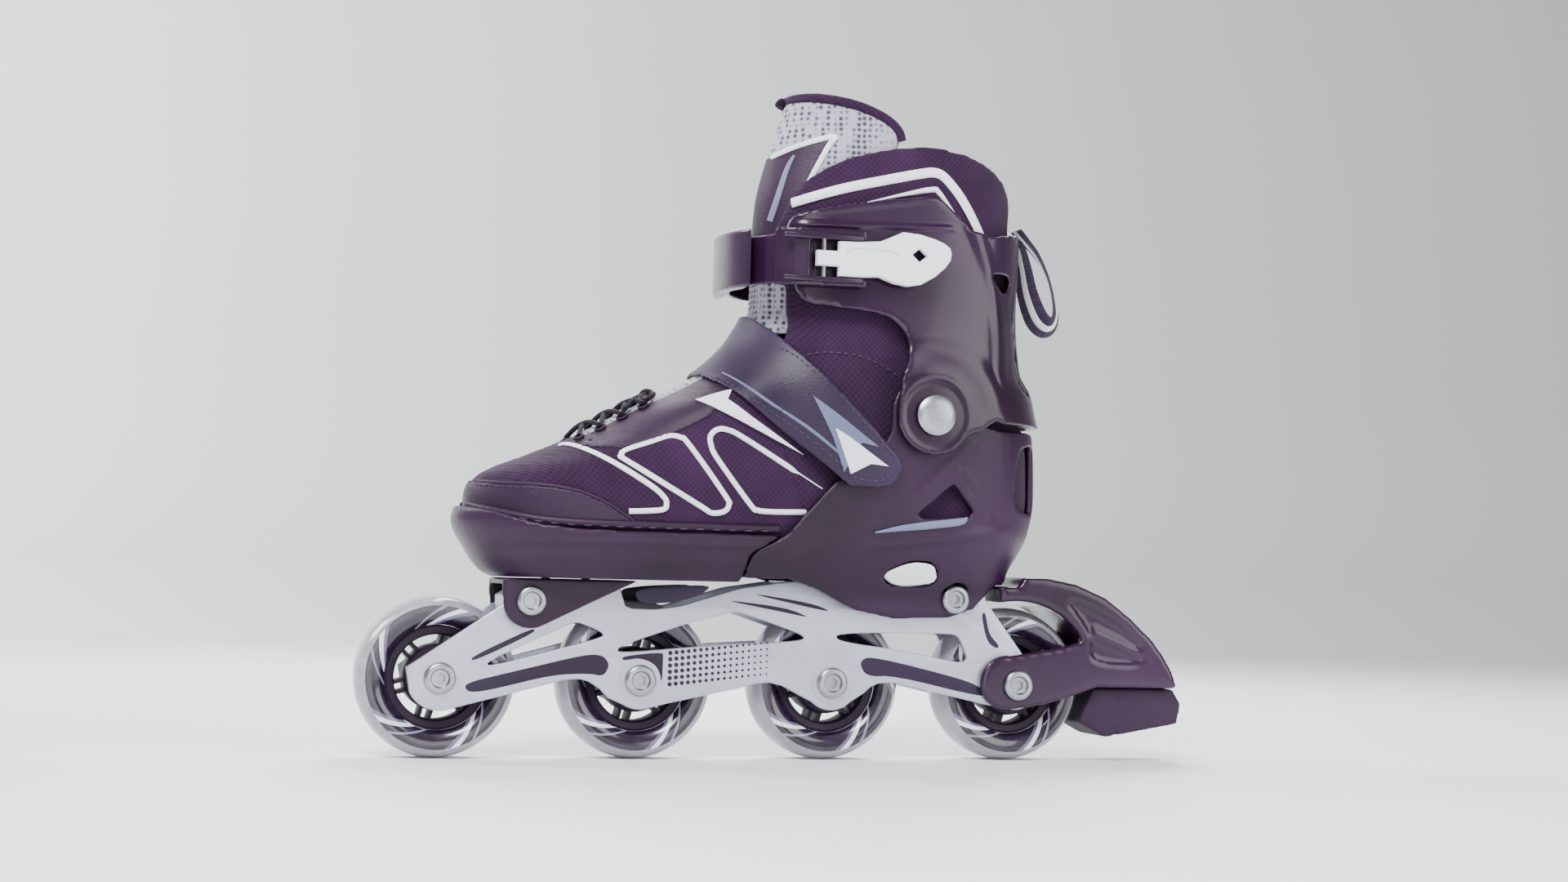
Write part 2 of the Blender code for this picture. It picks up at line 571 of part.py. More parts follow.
# ---------------------------------------------------------------- cuff and buckle
def make_cuff():
    top = [(12.9, 235.6), (17.2, 242.4), (36.7, 246.9), (55.2, 250.4), (81.2, 253.5), (89.5, 248.2), (98.3, 240)]
    back = [(110, 238), (128, 241.4), (150, 241.4), (150, 152.4), (116, 152.4), (110.5, 153.5), (104, 149.5)]
    lobe = arc(CUFF_PIVOT, 17.6, 330, 180, 10)
    front = [(65.4, 171.9), (68.5, 185.5), (64.9, 194), (51.8, 199.9), (24.2, 202), (18.1, 207.1), (15, 215)]
    levels = (134, 152, 160, 168, 178, 190, 207, 230, 256)
    cuff = layer(
        "cuff",
        [cuff_loop(z) for z in levels],
        [cuff_loop(z, SHELL_WALL) for z in (132, 152, 160, 168, 178, 190, 207, 230, 258)],
        top + back + lobe + front,
        BLACK_PLASTIC,
    )
    cut(cuff, rod("cuff_pivot_hole", *CUFF_PIVOT, -60, 60, 4.0 + GAP, None, 16))
    cut(cuff, rod("cuff_strap_hole", *STRAP_RIVET, 0, 60, 2.3, None, 12))
    for side in (-1, 1):
        low, high = sorted((side * 14, side * 60))
        cut(cuff, side_plate(f"cuff_window_{side}", [[(107, 221), (122, 221), (118, 211)]], low, high, None))
    for side, end in ((-1, "outer"), (1, "inner")):
        head = 45.3 + GAP
        profile = [(0, 35.6), (6.5, 35.6), (6.5, 36.7), (4.0, 36.7), (4.0, head), (9.0, head), (9.0, 47.4),
                   (7.0, PIVOT_HEAD_Y), (0, PIVOT_HEAD_Y)]  # fmt: skip
        pivot = at(CUFF_PIVOT[0], 0, CUFF_PIVOT[1])
        turned(f"cuff_rivet_{end}", [(r, side * y) for r, y in profile], pivot, STEEL, 16)


def strap_loop(z, inset):
    """The band round the cuff, which stands clear of it and passes in front of the shin."""
    return cuff_loop(z, inset, front=CUFF_FRONT_X - 3.2)


def make_buckle():
    low, high = STRAP_LOW_Z, STRAP_HIGH_Z
    levels = (low - 3, 222, high + 3)
    band_profile = [(-20, low), (-20, high), (60, high), (66, high - 6), (66, low + 6), (60, low)]
    band = layer(
        "ladder_strap",
        [strap_loop(z, -2.2) for z in levels],
        [strap_loop(z, -0.5) for z in (low - 5, 222, high + 5)],
        band_profile,
        BLACK_PLASTIC,
    )
    # The band ends under the lever on the outer side, and at its rivet on the inner side.
    cut(band, box("strap_end", (24, -60, 150), (100, 0, 300)))
    cut(band, rod("strap_rivet_hole", *STRAP_RIVET, 0, 60, 2.3, None, 12))
    base = layer(
        "buckle_base",
        [strap_loop(z, -6.0) for z in (low - 5, 222, high + 5)],
        [strap_loop(z, -2.7) for z in (low - 7, 222, high + 7)],
        [(-1, low - 1), (-1, high - 4), (8, high + 1), (47, high + 2), (47, low - 1)],
        BLACK_PLASTIC,
    )
    cut(base, box("base_half", (-20, -38, 150), (100, 60, 300)))
    cut(base, box("lever_slot", (21.5, -60, LEVER_Z - 9.2), (60, -40, LEVER_Z + 9.2)))
    x, y = LEVER_PIN
    cut(base, upright("pin_bore", x, y, LEVER_Z - 12, LEVER_Z + 12, 1.5))
    upright("buckle_pin", x, y, LEVER_Z - 10.5, LEVER_Z + 10.5, 1.1, STEEL)

    grip = [(23.5, 218.5), (33.5, 218.5), (33.5, 214.2), (52.5, 214.8), (65.8, 211.4), (78.5, 216.5), (85.4, 224),
            (85, 229.5), (78.3, 233), (62.9, 235.4), (52.4, 230.6), (33.5, 229.6), (33.5, 225.2),
            (23.5, 225.2)]  # fmt: skip
    eye = [(67.8, 225.6), (71, 228), (74, 225.4), (70.8, 222.8)]
    lever = side_plate("buckle_lever", [grip, eye], -48.4, -43.8, WHITE_PLASTIC)
    cut(lever, upright("lever_bore", x, y, 205, 240, 1.4))
    rod("strap_rivet", *STRAP_RIVET, 36.5, 44.2, 2.0, STEEL, 12)


# ---------------------------------------------------------------- textile boot
def make_boot():
    wall, drop = 4.0, 2.0
    low_levels = (88, 97, 104, 112, 118, 125, 131, 137, 142.7, 148.6, 154.6, 164, 174, 188, 204)
    outer = [boot_loop(z) for z in low_levels]
    inner = [boot_loop(z, wall, z - drop) for z in low_levels] + [boot_loop(204, wall, 210)]

    layer("boot_toe_box", outer, inner, [(-130, 89), (-130, 150), (-82.2, 150), (-82.2, 89)], FABRIC)
    throat_edge = [(-8, 175.6), (5, 183.3), (45.7, 184.9)]
    quarter_profile = [(-81.7, 100.5), (-81.7, 150)] + throat_edge + [(45.7, 100.5)]
    quarter = layer("boot_quarter", outer, inner, quarter_profile, FABRIC)
    cut(quarter, box("throat", (-72.3, -13.1, 121), (60, 13.1, 230)))

    ankle_top = [(46.1, 185.3), (75, 197), (110, 188), (125, 164), (141, 149)]
    layer("boot_ankle", outer, inner, [(46.1, 93)] + ankle_top + [(141, 93)], FABRIC)

    tall = (150, 178, 204, 234, 250, 274, 302)
    collar_bottom = [(141, 153.5), (125, 170), (110, 194), (75, 203), (46, 203), (24, 210), (6, 220.5)]
    collar_top = [(10, 236), (17, 243), (19, 253.3), (26, 261), (38.3, 268.2), (53.5, 273.3), (66, 276), (78.2, 277),
                  (98, 275), (113, 270), (123, 261), (131, 246)]  # fmt: skip
    collar = layer(
        "boot_collar",
        [boot_loop(z) for z in tall],
        [boot_loop(z, COLLAR_WALL, place) for z, place in zip(tall, (148,) + tall[1:-1] + (304,))],
        collar_bottom + collar_top,
        FABRIC,
    )
    cut(collar, box("collar_opening", (-20, -16, 190), (34, 16, 310)))

    tongue_front = [(2, 221), (6, 250), (13.5, 275), (18.3, 297.3), (22, 299), (34.3, 298.6), (48.5, 295.5)]
    tongue_back = [(60.9, 290.7), (69, 281.4), (60, 262), (44, 240), (38, 213)]
    layer(
        "tongue_upper",
        [tongue_loop(z) for z in (204, 234, 250, 274, 302)],
        [tongue_loop(z, 4.2) for z in (203, 234, 250, 274, 305)],
        tongue_front + tongue_back,
        MESH_CLOTH,
    )
    low = (125, 131, 137, 142.7, 154.6, 164, 174, 188, 204)
    tongue = layer(
        "tongue_lower",
        [boot_loop(z) for z in low],
        [boot_loop(z, 5.0, z - 2) for z in low] + [boot_loop(204, 5.0, 215)],
        [(-71.5, 120), (-71.5, 160), (-15, 190), (12, 190), (12, 170), (-20, 140), (-40, 120)],
        MESH_CLOTH,
    )
    boolean(tongue, box("tongue_width", (-100, -12.6, 100), (60, 12.6, 230)), "INTERSECT")


def instep_height(x, y):
    """The height of the boot's surface at a place on the instep."""
    low, high = 100.0, 204.0
    for _ in range(30):
        z = (low + high) / 2
        front, back = look_up(BOOT_FRONT_X, z), look_up(BOOT_BACK_X, z)
        side = look_up(PLAN, x) - look_up(BOOT_SIDE_INSET, z)
        inside = rounded_width(x, front, back, side, (BOOT_ROUND_FRONT, BOOT_ROUND_BACK)) > abs(y)
        low, high = (z, high) if inside else (low, z)
    return low


def make_laces():
    """One cord that crosses the tongue five times, lying on the boot."""
    curve = bpy.data.curves.new("laces", "CURVE")
    curve.dimensions = "3D"
    curve.bevel_depth = 1.6 * MM
    curve.bevel_resolution = 1
    curve.use_fill_caps = True
    rise, crossings, steps = 8.4, 5, 6
    route = []
    for i in range(crossings):
        side = 1 if i % 2 else -1
        for step in range(steps + (i == crossings - 1)):
            x = -76 + rise * (i + step / steps)
            y = side * (17 - 34 * step / steps)
            route.append((x, y, instep_height(x, y) + 3.2))
    spline = curve.splines.new("POLY")
    spline.points.add(len(route) - 1)
    for point, place in zip(spline.points, route):
        point.co = (*at(*place), 1)
    obj = bpy.data.objects.new("laces", curve)
    curve.materials.append(LACE)
    SKATE.objects.link(obj)


def make_instep_strap():
    """The hook-and-loop strap: it lies over the heel shell's arms and across the instep."""

    def lift(x):
        return 8.8 * smooth_step(8, 38, x)

    levels = (112, 125, 131, 137, 142.7, 154.6, 164, 174, 188, 204)
    profile = [
        (66.5, 129), (60, 122.5), (41.4, 122.2), (-27, 176), (-27, 190), (-10, 202), (2, 200), (19.7, 181.4), (64, 137),
    ]  # fmt: skip
    layer(
        "instep_strap",
        [boot_loop(z, -3.5, None, lift, 17) for z in levels],
        [boot_loop(z, -1.3, place, lift, 17) for z, place in zip(levels, (108,) + levels[1:-1] + (208,))],
        profile,
        STRAP_CLOTH,
    )


def make_pull_loop():
    """Webbing sewn to the back of the collar."""
    outer = [(133.8, 250), (138, 244.5), (146, 236), (153, 222), (156.5, 209), (155, 202), (150, 200.5), (144, 205),
             (139, 218), (137.5, 232), (134.2, 240.5), (133.8, 243)]  # fmt: skip
    hole = [(141, 234), (147.5, 224.5), (152.6, 211), (151.5, 205.5), (147.5, 207.5), (142.2, 220), (140.4, 230)]
    side_plate("pull_loop", [outer, hole], -7, 7, WEBBING)


def hang(name, place, *children):
    """Parents pieces to an empty on the joint's axis, leaving them where they are."""
    pivot = bpy.data.objects.new(name, None)
    pivot.location = place
    SKATE.objects.link(pivot)
    bpy.context.view_layer.update()
    for child in children:
        obj = bpy.data.objects[child]
        obj.parent = pivot
        obj.matrix_parent_inverse = pivot.matrix_world.inverted()
    return pivot


clear_scene()
SKATE = make_collection("inline_skate")
CUTTERS = make_collection("cutters")
BLACK_PLASTIC = make_material("shell_plastic", (0.055, 0.022, 0.065), 0.42)
WHITE_PLASTIC = make_material("white_plastic", (0.82, 0.82, 0.88), 0.35)
ALUMINIUM = make_material("frame_aluminium", (0.72, 0.74, 0.80), 0.38, 0.6)
STEEL = make_material("steel", (0.62, 0.62, 0.62), 0.28, 1.0)
URETHANE = make_material("urethane", (0.36, 0.33, 0.44), 0.15)
HUB_PLASTIC = make_material("hub_plastic", (0.04, 0.015, 0.05), 0.5)
RUBBER = make_material("brake_rubber", (0.05, 0.02, 0.055), 0.75)
FABRIC = make_material("boot_fabric", (0.05, 0.018, 0.055), 0.9)
MESH_CLOTH = make_material("grey_mesh_cloth", (0.55, 0.54, 0.60), 0.9)
LINING = make_material("lining", (0.04, 0.02, 0.05), 0.95)
LACE = make_material("lace_cord", (0.035, 0.012, 0.04), 0.9)
STRAP_CLOTH = make_material("strap_synthetic", (0.09, 0.045, 0.12), 0.6)
WEBBING = make_material("webbing", (0.16, 0.12, 0.18), 0.85)

for index, axle_x in enumerate(AXLE_XS):
    make_wheel(f"wheel_{index + 1}", axle_x)
    make_axle(index + 1, axle_x)
make_frame()
make_frame_bolts("front_mount_bolt", *FRONT_BOLT, RAIL_OUTER_Y + GAP + 3.5 + GAP)
make_frame_bolts("rear_mount_bolt", *REAR_BOLT, 21.6 + GAP)
make_brake()
make_toe_shell()
make_heel_shell()
make_size_button()
make_sole()
make_cuff()
make_buckle()
make_boot()
make_laces()
make_instep_strap()
make_pull_loop()

for index, axle_x in enumerate(AXLE_XS):
    pieces = [f"wheel_{index + 1}_{piece}" for piece in ("tyre", "hub", "bearing_outer", "bearing_inner")]
    hang(f"wheel_{index + 1}_axis", at(axle_x, 0, AXLE_Z), *pieces)
cuff_axis = hang(
    "cuff_axis", at(CUFF_PIVOT[0], 0, CUFF_PIVOT[1]),
    "cuff", "cuff_rivet_outer", "cuff_rivet_inner", "boot_collar", "tongue_upper", "pull_loop",
    "ladder_strap", "strap_rivet", "buckle_base", "buckle_pin",
)  # fmt: skip
lever_axis = hang("lever_axis", at(*LEVER_PIN, LEVER_Z), "buckle_lever")
lever_axis.parent = cuff_axis
lever_axis.matrix_parent_inverse = cuff_axis.matrix_world.inverted()
hang("toe_axis", at(STUD_XS[0], 0, SHELL_FLOOR_Z), "toe_shell", "boot_toe_box")
hang("button_axis", at(73, -31, 84.5), "size_button")
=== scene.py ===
"""Looks of the adjustable inline skate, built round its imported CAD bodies.

Sizes are in millimetres in the skate's own frame: x from toe (-) to heel (+) with 0 midway between the outer
axles, the outer side of the foot at -y, z up from the ground. at() turns them into the row frame's metres.
"""

import math

import bmesh
import bpy
from mathutils import Matrix, Vector


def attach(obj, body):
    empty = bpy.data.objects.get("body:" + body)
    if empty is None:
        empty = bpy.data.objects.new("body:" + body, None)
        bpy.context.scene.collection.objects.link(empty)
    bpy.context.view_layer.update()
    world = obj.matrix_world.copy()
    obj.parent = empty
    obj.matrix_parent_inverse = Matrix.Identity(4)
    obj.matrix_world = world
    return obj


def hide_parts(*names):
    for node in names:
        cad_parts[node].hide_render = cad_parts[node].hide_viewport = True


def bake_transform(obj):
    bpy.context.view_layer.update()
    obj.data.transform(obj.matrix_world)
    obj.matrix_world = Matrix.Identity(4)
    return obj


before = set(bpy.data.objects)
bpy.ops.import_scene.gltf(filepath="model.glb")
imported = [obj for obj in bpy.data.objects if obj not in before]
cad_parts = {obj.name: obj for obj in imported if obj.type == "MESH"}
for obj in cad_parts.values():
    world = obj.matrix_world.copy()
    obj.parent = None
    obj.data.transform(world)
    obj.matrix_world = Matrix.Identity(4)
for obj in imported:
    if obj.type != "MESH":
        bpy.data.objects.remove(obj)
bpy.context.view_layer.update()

MM = 0.001
BOX_SHIFT_X = -24.475
AXLE_XS = [-131.55, -43.85, 43.85, 131.55]
AXLE_Z = 35.0
RAIL_Y = (14.0, 17.0)
CUFF_PIVOT = (80.7, 155.0)
FRONT_BOLT, REAR_BOLT = (-93.5, 69.0), (100.0, 73.5)
LEVER_PIN = (27.0, -45.6)
SIDES = ((-1, "outer"), (1, "inner"))
PAST_SIDES = 60

PLAN = [(-60, 46.5), (-20, 44.5), (20, 41), (60, 38.5), (95, 37.5), (150, 37.5)]
NOSE_X, TAIL_X = -58.0, 88.0
SHELL_SIDE_INSET = [
    (64, 17), (72, 15.5), (77, 13), (81, 10), (85, 7.5), (90, 5), (96, 2.5), (104, 0.5),
    (111, 0), (119, -1), (138, -2.2), (155, -2.6), (180, -1.2),
]
SHELL_TOE_X = [(64, -98), (77, -104), (81, -112.6), (90, -120), (104, -126.6), (113, -124.5), (180, -124)]
SHELL_HEEL_X = [(64, 124), (72, 129), (85, 131), (95, 136.5), (104, 140.6), (119, 143.2), (138, 142.8),
                (151, 141.2), (180, 137)]
CUFF_HALF_WIDTH = [(134, 45.3), (160, 45.3), (175, 44.5), (190, 42.5), (205, 41), (230, 40), (258, 39.5)]
CUFF_BACK_X = [(134, 145), (152, 144.4), (160, 142.5), (168, 140.5), (178, 134.8), (207, 132.4),
               (240, 133.4), (258, 133.4)]
BOOT_FRONT_X = [
    (88, -109), (97, -114.3), (104, -119.6), (112, -120.8), (118, -119.8), (125, -113.5), (131, -99),
    (137, -85), (142.7, -72), (154.6, -50), (164, -31), (174, -15), (188, -1), (204, 6.5), (234, 6.5),
    (250, 7.5), (274, 13), (300, 20)
]
BOOT_BACK_X = [(88, 127), (97, 132), (104, 136), (119, 139), (138, 138.5), (155, 136), (178, 129),
               (207, 127.5), (240, 128.5), (300, 128.5)]
BOOT_SIDE_INSET = [(88, 12.6), (97, 8.3), (104, 6), (112, 5), (160, 4.7), (200, 4.4), (300, 4.4)]
BLEND_POWER = 6


def at(x, y, z):
    return Vector(((x + BOX_SHIFT_X) * MM, y * MM, z * MM))


def span_of(side, near, far):
    """The two y of a layer from near to far on one side of the skate, lowest first."""
    return sorted((side * near, side * far))


def on_side(profile, side):
    return [(r, side * y) for r, y in profile]


def smooth_step(low, high, value):
    t = min(1.0, max(0.0, (value - low) / (high - low)))
    return t * t * (3 - 2 * t)


def bump(value, centre, half_width):
    """1 at the centre, falling smoothly to 0 at half_width from it."""
    return 1 - smooth_step(0, half_width, abs(value - centre))


def slopes_of(table):
    """Slopes at the rows that keep a curve through them from overshooting."""
    steps = [(v1 - v0) / (k1 - k0) for (k0, v0), (k1, v1) in zip(table, table[1:])]
    middle = [0.0 if a * b <= 0 else 2 * a * b / (a + b) for a, b in zip(steps, steps[1:])]
    return [steps[0]] + middle + [steps[-1]]


SLOPES = {}


def look_up(table, key):
    """The value of a smooth curve through a table's rows."""
    slopes = SLOPES.setdefault(id(table), slopes_of(table))
    if key <= table[0][0]:
        return table[0][1]
    for i, ((k0, v0), (k1, v1)) in enumerate(zip(table, table[1:])):
        if key <= k1:
            h = k1 - k0
            t = (key - k0) / h
            return (
                v0 * (1 + 2 * t) * (1 - t) ** 2 + slopes[i] * h * t * (1 - t) ** 2
                + v1 * t * t * (3 - 2 * t) + slopes[i + 1] * h * t * t * (t - 1)
            )
    return table[-1][1]


# ---------------------------------------------------------------- the skate's surfaces
def rounded_width(x, front, back, widest, rounds):
    nose = rounds[0] * math.sqrt(max(0.0, x - front))
    tail = rounds[1] * math.sqrt(max(0.0, back - x))
    if min(nose, tail, widest) < 1e-3:
        return 0.0
    return sum(width**-BLEND_POWER for width in (widest, nose, tail)) ** (-1 / BLEND_POWER)


class Skin:
    """A surface of level outlines: width(x, z, inset) between front(z, inset) and back(z, inset)."""

    def __init__(self, front, back, width):
        self.front, self.back, self.width = front, back, width

    def loop(self, z, inset=0.0, place=None, steps=44):
        front, back = self.front(z, inset), self.back(z, inset)
        xs = [front + (back - front) * (1 - math.cos(math.pi * i / steps)) / 2 for i in range(steps + 1)]
        side = [(x, self.width(x, z, inset), z if place is None else place) for x in xs]
        return [(x, -y, z) for x, y, z in side] + side[-2:0:-1]

    def point(self, x, z, side=-1, lift=0.0):
        return Vector((x, side * self.width(x, z, -lift), z))

    def normal(self, x, z, side=-1):
        step = 0.4
        along = self.point(x + step, z, side) - self.point(x - step, z, side)
        up = self.point(x, z + step, side) - self.point(x, z - step, side)
        return (along.cross(up) if side < 0 else up.cross(along)).normalized()


def shell_width(x, z, inset):
    toe, heel = look_up(SHELL_TOE_X, z) + inset, look_up(SHELL_HEEL_X, z) - inset
    width = look_up(PLAN, x) - look_up(SHELL_SIDE_INSET, z) - inset
    if x < NOSE_X:
        width *= max(0.0, 1 - ((NOSE_X - x) / (NOSE_X - toe)) ** 2.5) ** 0.5
    if x > TAIL_X:
        width *= max(0.0, 1 - ((x - TAIL_X) / (heel - TAIL_X)) ** 2.4) ** 0.5
    return width


def boot_front(z, inset):
    return look_up(BOOT_FRONT_X, z) + inset


def boot_back(z, inset):
    return look_up(BOOT_BACK_X, z) - inset


def boot_width(x, z, inset, lift=0.0):
    side = look_up(PLAN, x) - look_up(BOOT_SIDE_INSET, z) - inset + lift
    return rounded_width(x, boot_front(z, inset), boot_back(z, inset), side, (7.1, 6.8))


def strap_lift(x):
    return 8.8 * smooth_step(8, 38, x)


def tongue_width(x, z, inset):
    side = look_up(PLAN, x) - look_up(BOOT_SIDE_INSET, z) - 5.9 - inset
    return rounded_width(x, boot_front(z, inset) + 0.5, boot_back(z, inset) - 8, side, (5.0, 6.8))


def cuff_back(z, inset):
    return look_up(CUFF_BACK_X, z) - inset


def cuff_skin(front_x):
    def width(x, z, inset):
        return rounded_width(
            x, front_x + inset, cuff_back(z, inset), look_up(CUFF_HALF_WIDTH, z) - inset, (11.0, 8.5)
        )

    return Skin(lambda z, inset: front_x + inset, cuff_back, width)


SHELL = Skin(lambda z, i: look_up(SHELL_TOE_X, z) + i, lambda z, i: look_up(SHELL_HEEL_X, z) - i, shell_width)
BOOT = Skin(boot_front, boot_back, boot_width)
STRAP = Skin(boot_front, boot_back, lambda x, z, inset: boot_width(x, z, inset, strap_lift(x)))
TONGUE = Skin(lambda z, i: boot_front(z, i) + 0.5, lambda z, i: boot_back(z, i) - 8, tongue_width)
CUFF = cuff_skin(2.0)
BAND = cuff_skin(-1.2)


# ---------------------------------------------------------------- materials
def linear(r, g, b):
    """An 8-bit screen colour as the linear one that shaders take."""
    parts = (((c / 255 + 0.055) / 1.055) ** 2.4 if c > 10 else c / 255 / 12.92 for c in (r, g, b))
    return (*parts, 1.0)


def darker(colour):
    return tuple(c * 0.86 for c in colour[:3]) + (1.0,)


class Nodes:
    """A short way to write a node tree."""

    def __init__(self, name):
        self.material = bpy.data.materials.new(name)
        self.material.use_nodes = True
        self.tree = self.material.node_tree
        self.shader = self.tree.nodes["Principled BSDF"]
        self.place = self.add("ShaderNodeTexCoord").outputs["Object"]

    def add(self, kind, inputs=None, **settings):
        node = self.tree.nodes.new(kind)
        for key, value in settings.items():
            setattr(node, key, value)
        for key, value in (inputs or {}).items():
            self.feed(node.inputs[key], value)
        return node

    def feed(self, socket, value):
        if isinstance(value, bpy.types.NodeSocket):
            self.tree.links.new(value, socket)
        else:
            socket.default_value = value

    def math(self, operation, a, b=0.0, clamp=False):
        node = self.add("ShaderNodeMath", {0: a, 1: b}, operation=operation)
        node.use_clamp = clamp
        return node.outputs[0]

    def noise(self, scale, detail=3.0, stretch=None):
        place = self.place
        if stretch:
            place = self.add("ShaderNodeMapping", {"Vector": self.place, "Scale": stretch}).outputs[0]
        node = self.add("ShaderNodeTexNoise", {"Vector": place, "Scale": scale, "Detail": detail})
        return node.outputs["Fac"]

    def mix(self, factor, a, b):
        node = self.add("ShaderNodeMix", data_type="RGBA")
        for key, value in (("Factor", factor), ("A", a), ("B", b)):
            sockets = [s for s in node.inputs if s.name == key and s.enabled]
            self.feed(sockets[0], value)
        return [s for s in node.outputs if s.enabled][0]

    def span(self, value, low, high, to_low=0.0, to_high=1.0):
        inputs = {"Value": value, "From Min": low, "From Max": high, "To Min": to_low, "To Max": to_high}
        return self.add("ShaderNodeMapRange", inputs).outputs[0]

    def raise_surface(self, height, depth_mm):
        node = self.add("ShaderNodeBump", {"Height": height, "Distance": depth_mm * MM, "Strength": 1.0})
        before = self.shader.inputs["Normal"]
        if before.is_linked:
            self.feed(node.inputs["Normal"], before.links[0].from_socket)
        self.feed(before, node.outputs[0])

    def uneven_gloss(self, scale, detail, low, high):
        self.set(Roughness=self.span(self.noise(scale, detail), 0.3, 0.7, low, high))

    def set(self, **values):
        for key, value in values.items():
            self.feed(self.shader.inputs[key.replace("_", " ")], value)
        return self.material


def edge_wear(n, amount):
    """Brighter along convex edges, as handling leaves them."""
    pointiness = n.add("ShaderNodeNewGeometry").outputs["Pointiness"]
    worn = n.span(pointiness, 0.515, 0.60)
    return n.math("MULTIPLY", n.math("MULTIPLY", worn, n.noise(220)), amount, clamp=True)


def plastic(name, colour, light, roughness, grain=0.05, wear=0.35, coat=0.0):
    """Moulded plastic or coated cloth: fine grain, slight waves and worn edges."""
    n, colour, light = Nodes(name), linear(*colour), linear(*light)
    tone = n.mix(n.span(n.noise(9, 2), 0.35, 0.7), colour, light)
    n.set(Base_Color=n.mix(edge_wear(n, wear), tone, light))
    n.raise_surface(n.noise(1500, 4), grain)
    n.raise_surface(n.noise(45, 2), 0.08)
    n.uneven_gloss(30, 4, roughness - 0.06, roughness + 0.1)
    n.set(Specular_IOR_Level=0.32)
    if coat:
        n.set(Coat_Weight=coat, Coat_Roughness=0.12)
    return n.material


def woven(name, colour, light, pitch_mm, depth_mm):
    """Plain weave: threads that pass over and under each other in x and z."""
    n, colour, light = Nodes(name), linear(*colour), linear(*light)
    split = n.add("ShaderNodeSeparateXYZ", {"Vector": n.place})
    turns = math.pi / (pitch_mm * MM)
    around = n.math("ADD", split.outputs[0], n.math("MULTIPLY", split.outputs[1], 0.7))
    warp = n.math("SINE", n.math("MULTIPLY", around, turns))
    weft = n.math("SINE", n.math("MULTIPLY", split.outputs[2], turns))
    weave = n.span(n.math("MULTIPLY", warp, weft), -1.0, 1.0)
    fuzz = n.noise(2600, 3)
    shade = n.math("MULTIPLY", n.math("ADD", weave, fuzz), 0.5)
    cloudy = n.span(n.noise(28, 3), 0.3, 0.7, 0.0, 0.35)
    n.set(Base_Color=n.mix(n.math("ADD", n.math("MULTIPLY", shade, 0.65), cloudy, clamp=True), colour, light))
    n.raise_surface(weave, depth_mm)
    n.raise_surface(fuzz, depth_mm * 0.5)
    return n.set(Roughness=0.9, Specular_IOR_Level=0.2, Sheen_Weight=0.06, Sheen_Roughness=0.5)


def open_mesh(name, colour, hole, pitch_mm):
    """Spacer mesh: a light knit with a small dark hole in each cell."""
    n, colour, hole = Nodes(name), linear(*colour), linear(*hole)
    cells = n.add(
        "ShaderNodeTexVoronoi", {"Vector": n.place, "Scale": 1 / (pitch_mm * MM), "Randomness": 0.25}
    )
    knit = n.span(cells.outputs["Distance"], 0.2, 0.5)
    worn = n.mix(n.span(n.noise(40, 3), 0.3, 0.7), colour, darker(colour))
    n.set(Base_Color=n.mix(knit, hole, worn))
    n.raise_surface(knit, 0.5)
    n.raise_surface(n.noise(2400, 2), 0.06)
    return n.set(Roughness=0.88, Sheen_Weight=0.25)


def metal(name, colour, roughness, brushed=(1, 1, 1), metallic=1.0, depth=0.02):
    """Metal with fine lines along the axis that brushed stretches least."""
    n, colour = Nodes(name), linear(*colour)
    lines = n.noise(500, 4, brushed)
    n.set(Base_Color=n.mix(n.span(lines, 0.3, 0.7), darker(colour), colour))
    n.raise_surface(lines, depth)
    n.uneven_gloss(60, 3, roughness - 0.05, roughness + 0.1)
    return n.set(Metallic=metallic)


def urethane(name):
    n = Nodes(name)
    n.set(Base_Color=n.mix(n.span(n.noise(60, 2), 0.3, 0.7), linear(196, 190, 208), linear(226, 224, 234)))
    n.raise_surface(n.noise(140, 2), 0.04)
    n.uneven_gloss(90, 3, 0.06, 0.2)
    return n.set(Transmission_Weight=0.55, IOR=1.45)


def printed_ring(name):
    """Abstract wedges of dark, grey and white round the wheel's core, under a gloss."""
    n = Nodes(name)
    split = n.add("ShaderNodeSeparateXYZ", {"Vector": n.place})
    angle = n.math("ARCTAN2", split.outputs[2], split.outputs[0])
    radius = n.add("ShaderNodeVectorMath", {0: n.place}, operation="LENGTH").outputs["Value"]
    swept = n.math("ADD", angle, n.math("MULTIPLY", radius, 60.0))
    share = n.math("FRACT", n.math("MULTIPLY", swept, 5 / (2 * math.pi)))
    ramp = n.add("ShaderNodeValToRGB", {"Fac": share})
    ramp.color_ramp.interpolation = "CONSTANT"
    stops = [(0.0, linear(24, 5, 32)), (0.42, linear(96, 90, 124)), (0.5, linear(232, 232, 240)),
             (0.6, linear(24, 5, 32)), (0.74, linear(130, 126, 152)), (0.79, linear(20, 4, 26))]
    elements = ramp.color_ramp.elements
    while len(elements) < len(stops):
        elements.new(0.5)
    for element, (position, colour) in zip(elements, stops):
        element.position, element.color = position, colour
    dust = n.span(n.noise(300, 3), 0.35, 0.65, 0.0, 0.12)
    n.set(Base_Color=n.mix(dust, ramp.outputs["Color"], linear(90, 80, 110)))
    n.raise_surface(n.noise(400, 2), 0.02)
    n.uneven_gloss(90, 3, 0.18, 0.3)
    return n.set(Coat_Weight=0.8, Coat_Roughness=0.06)


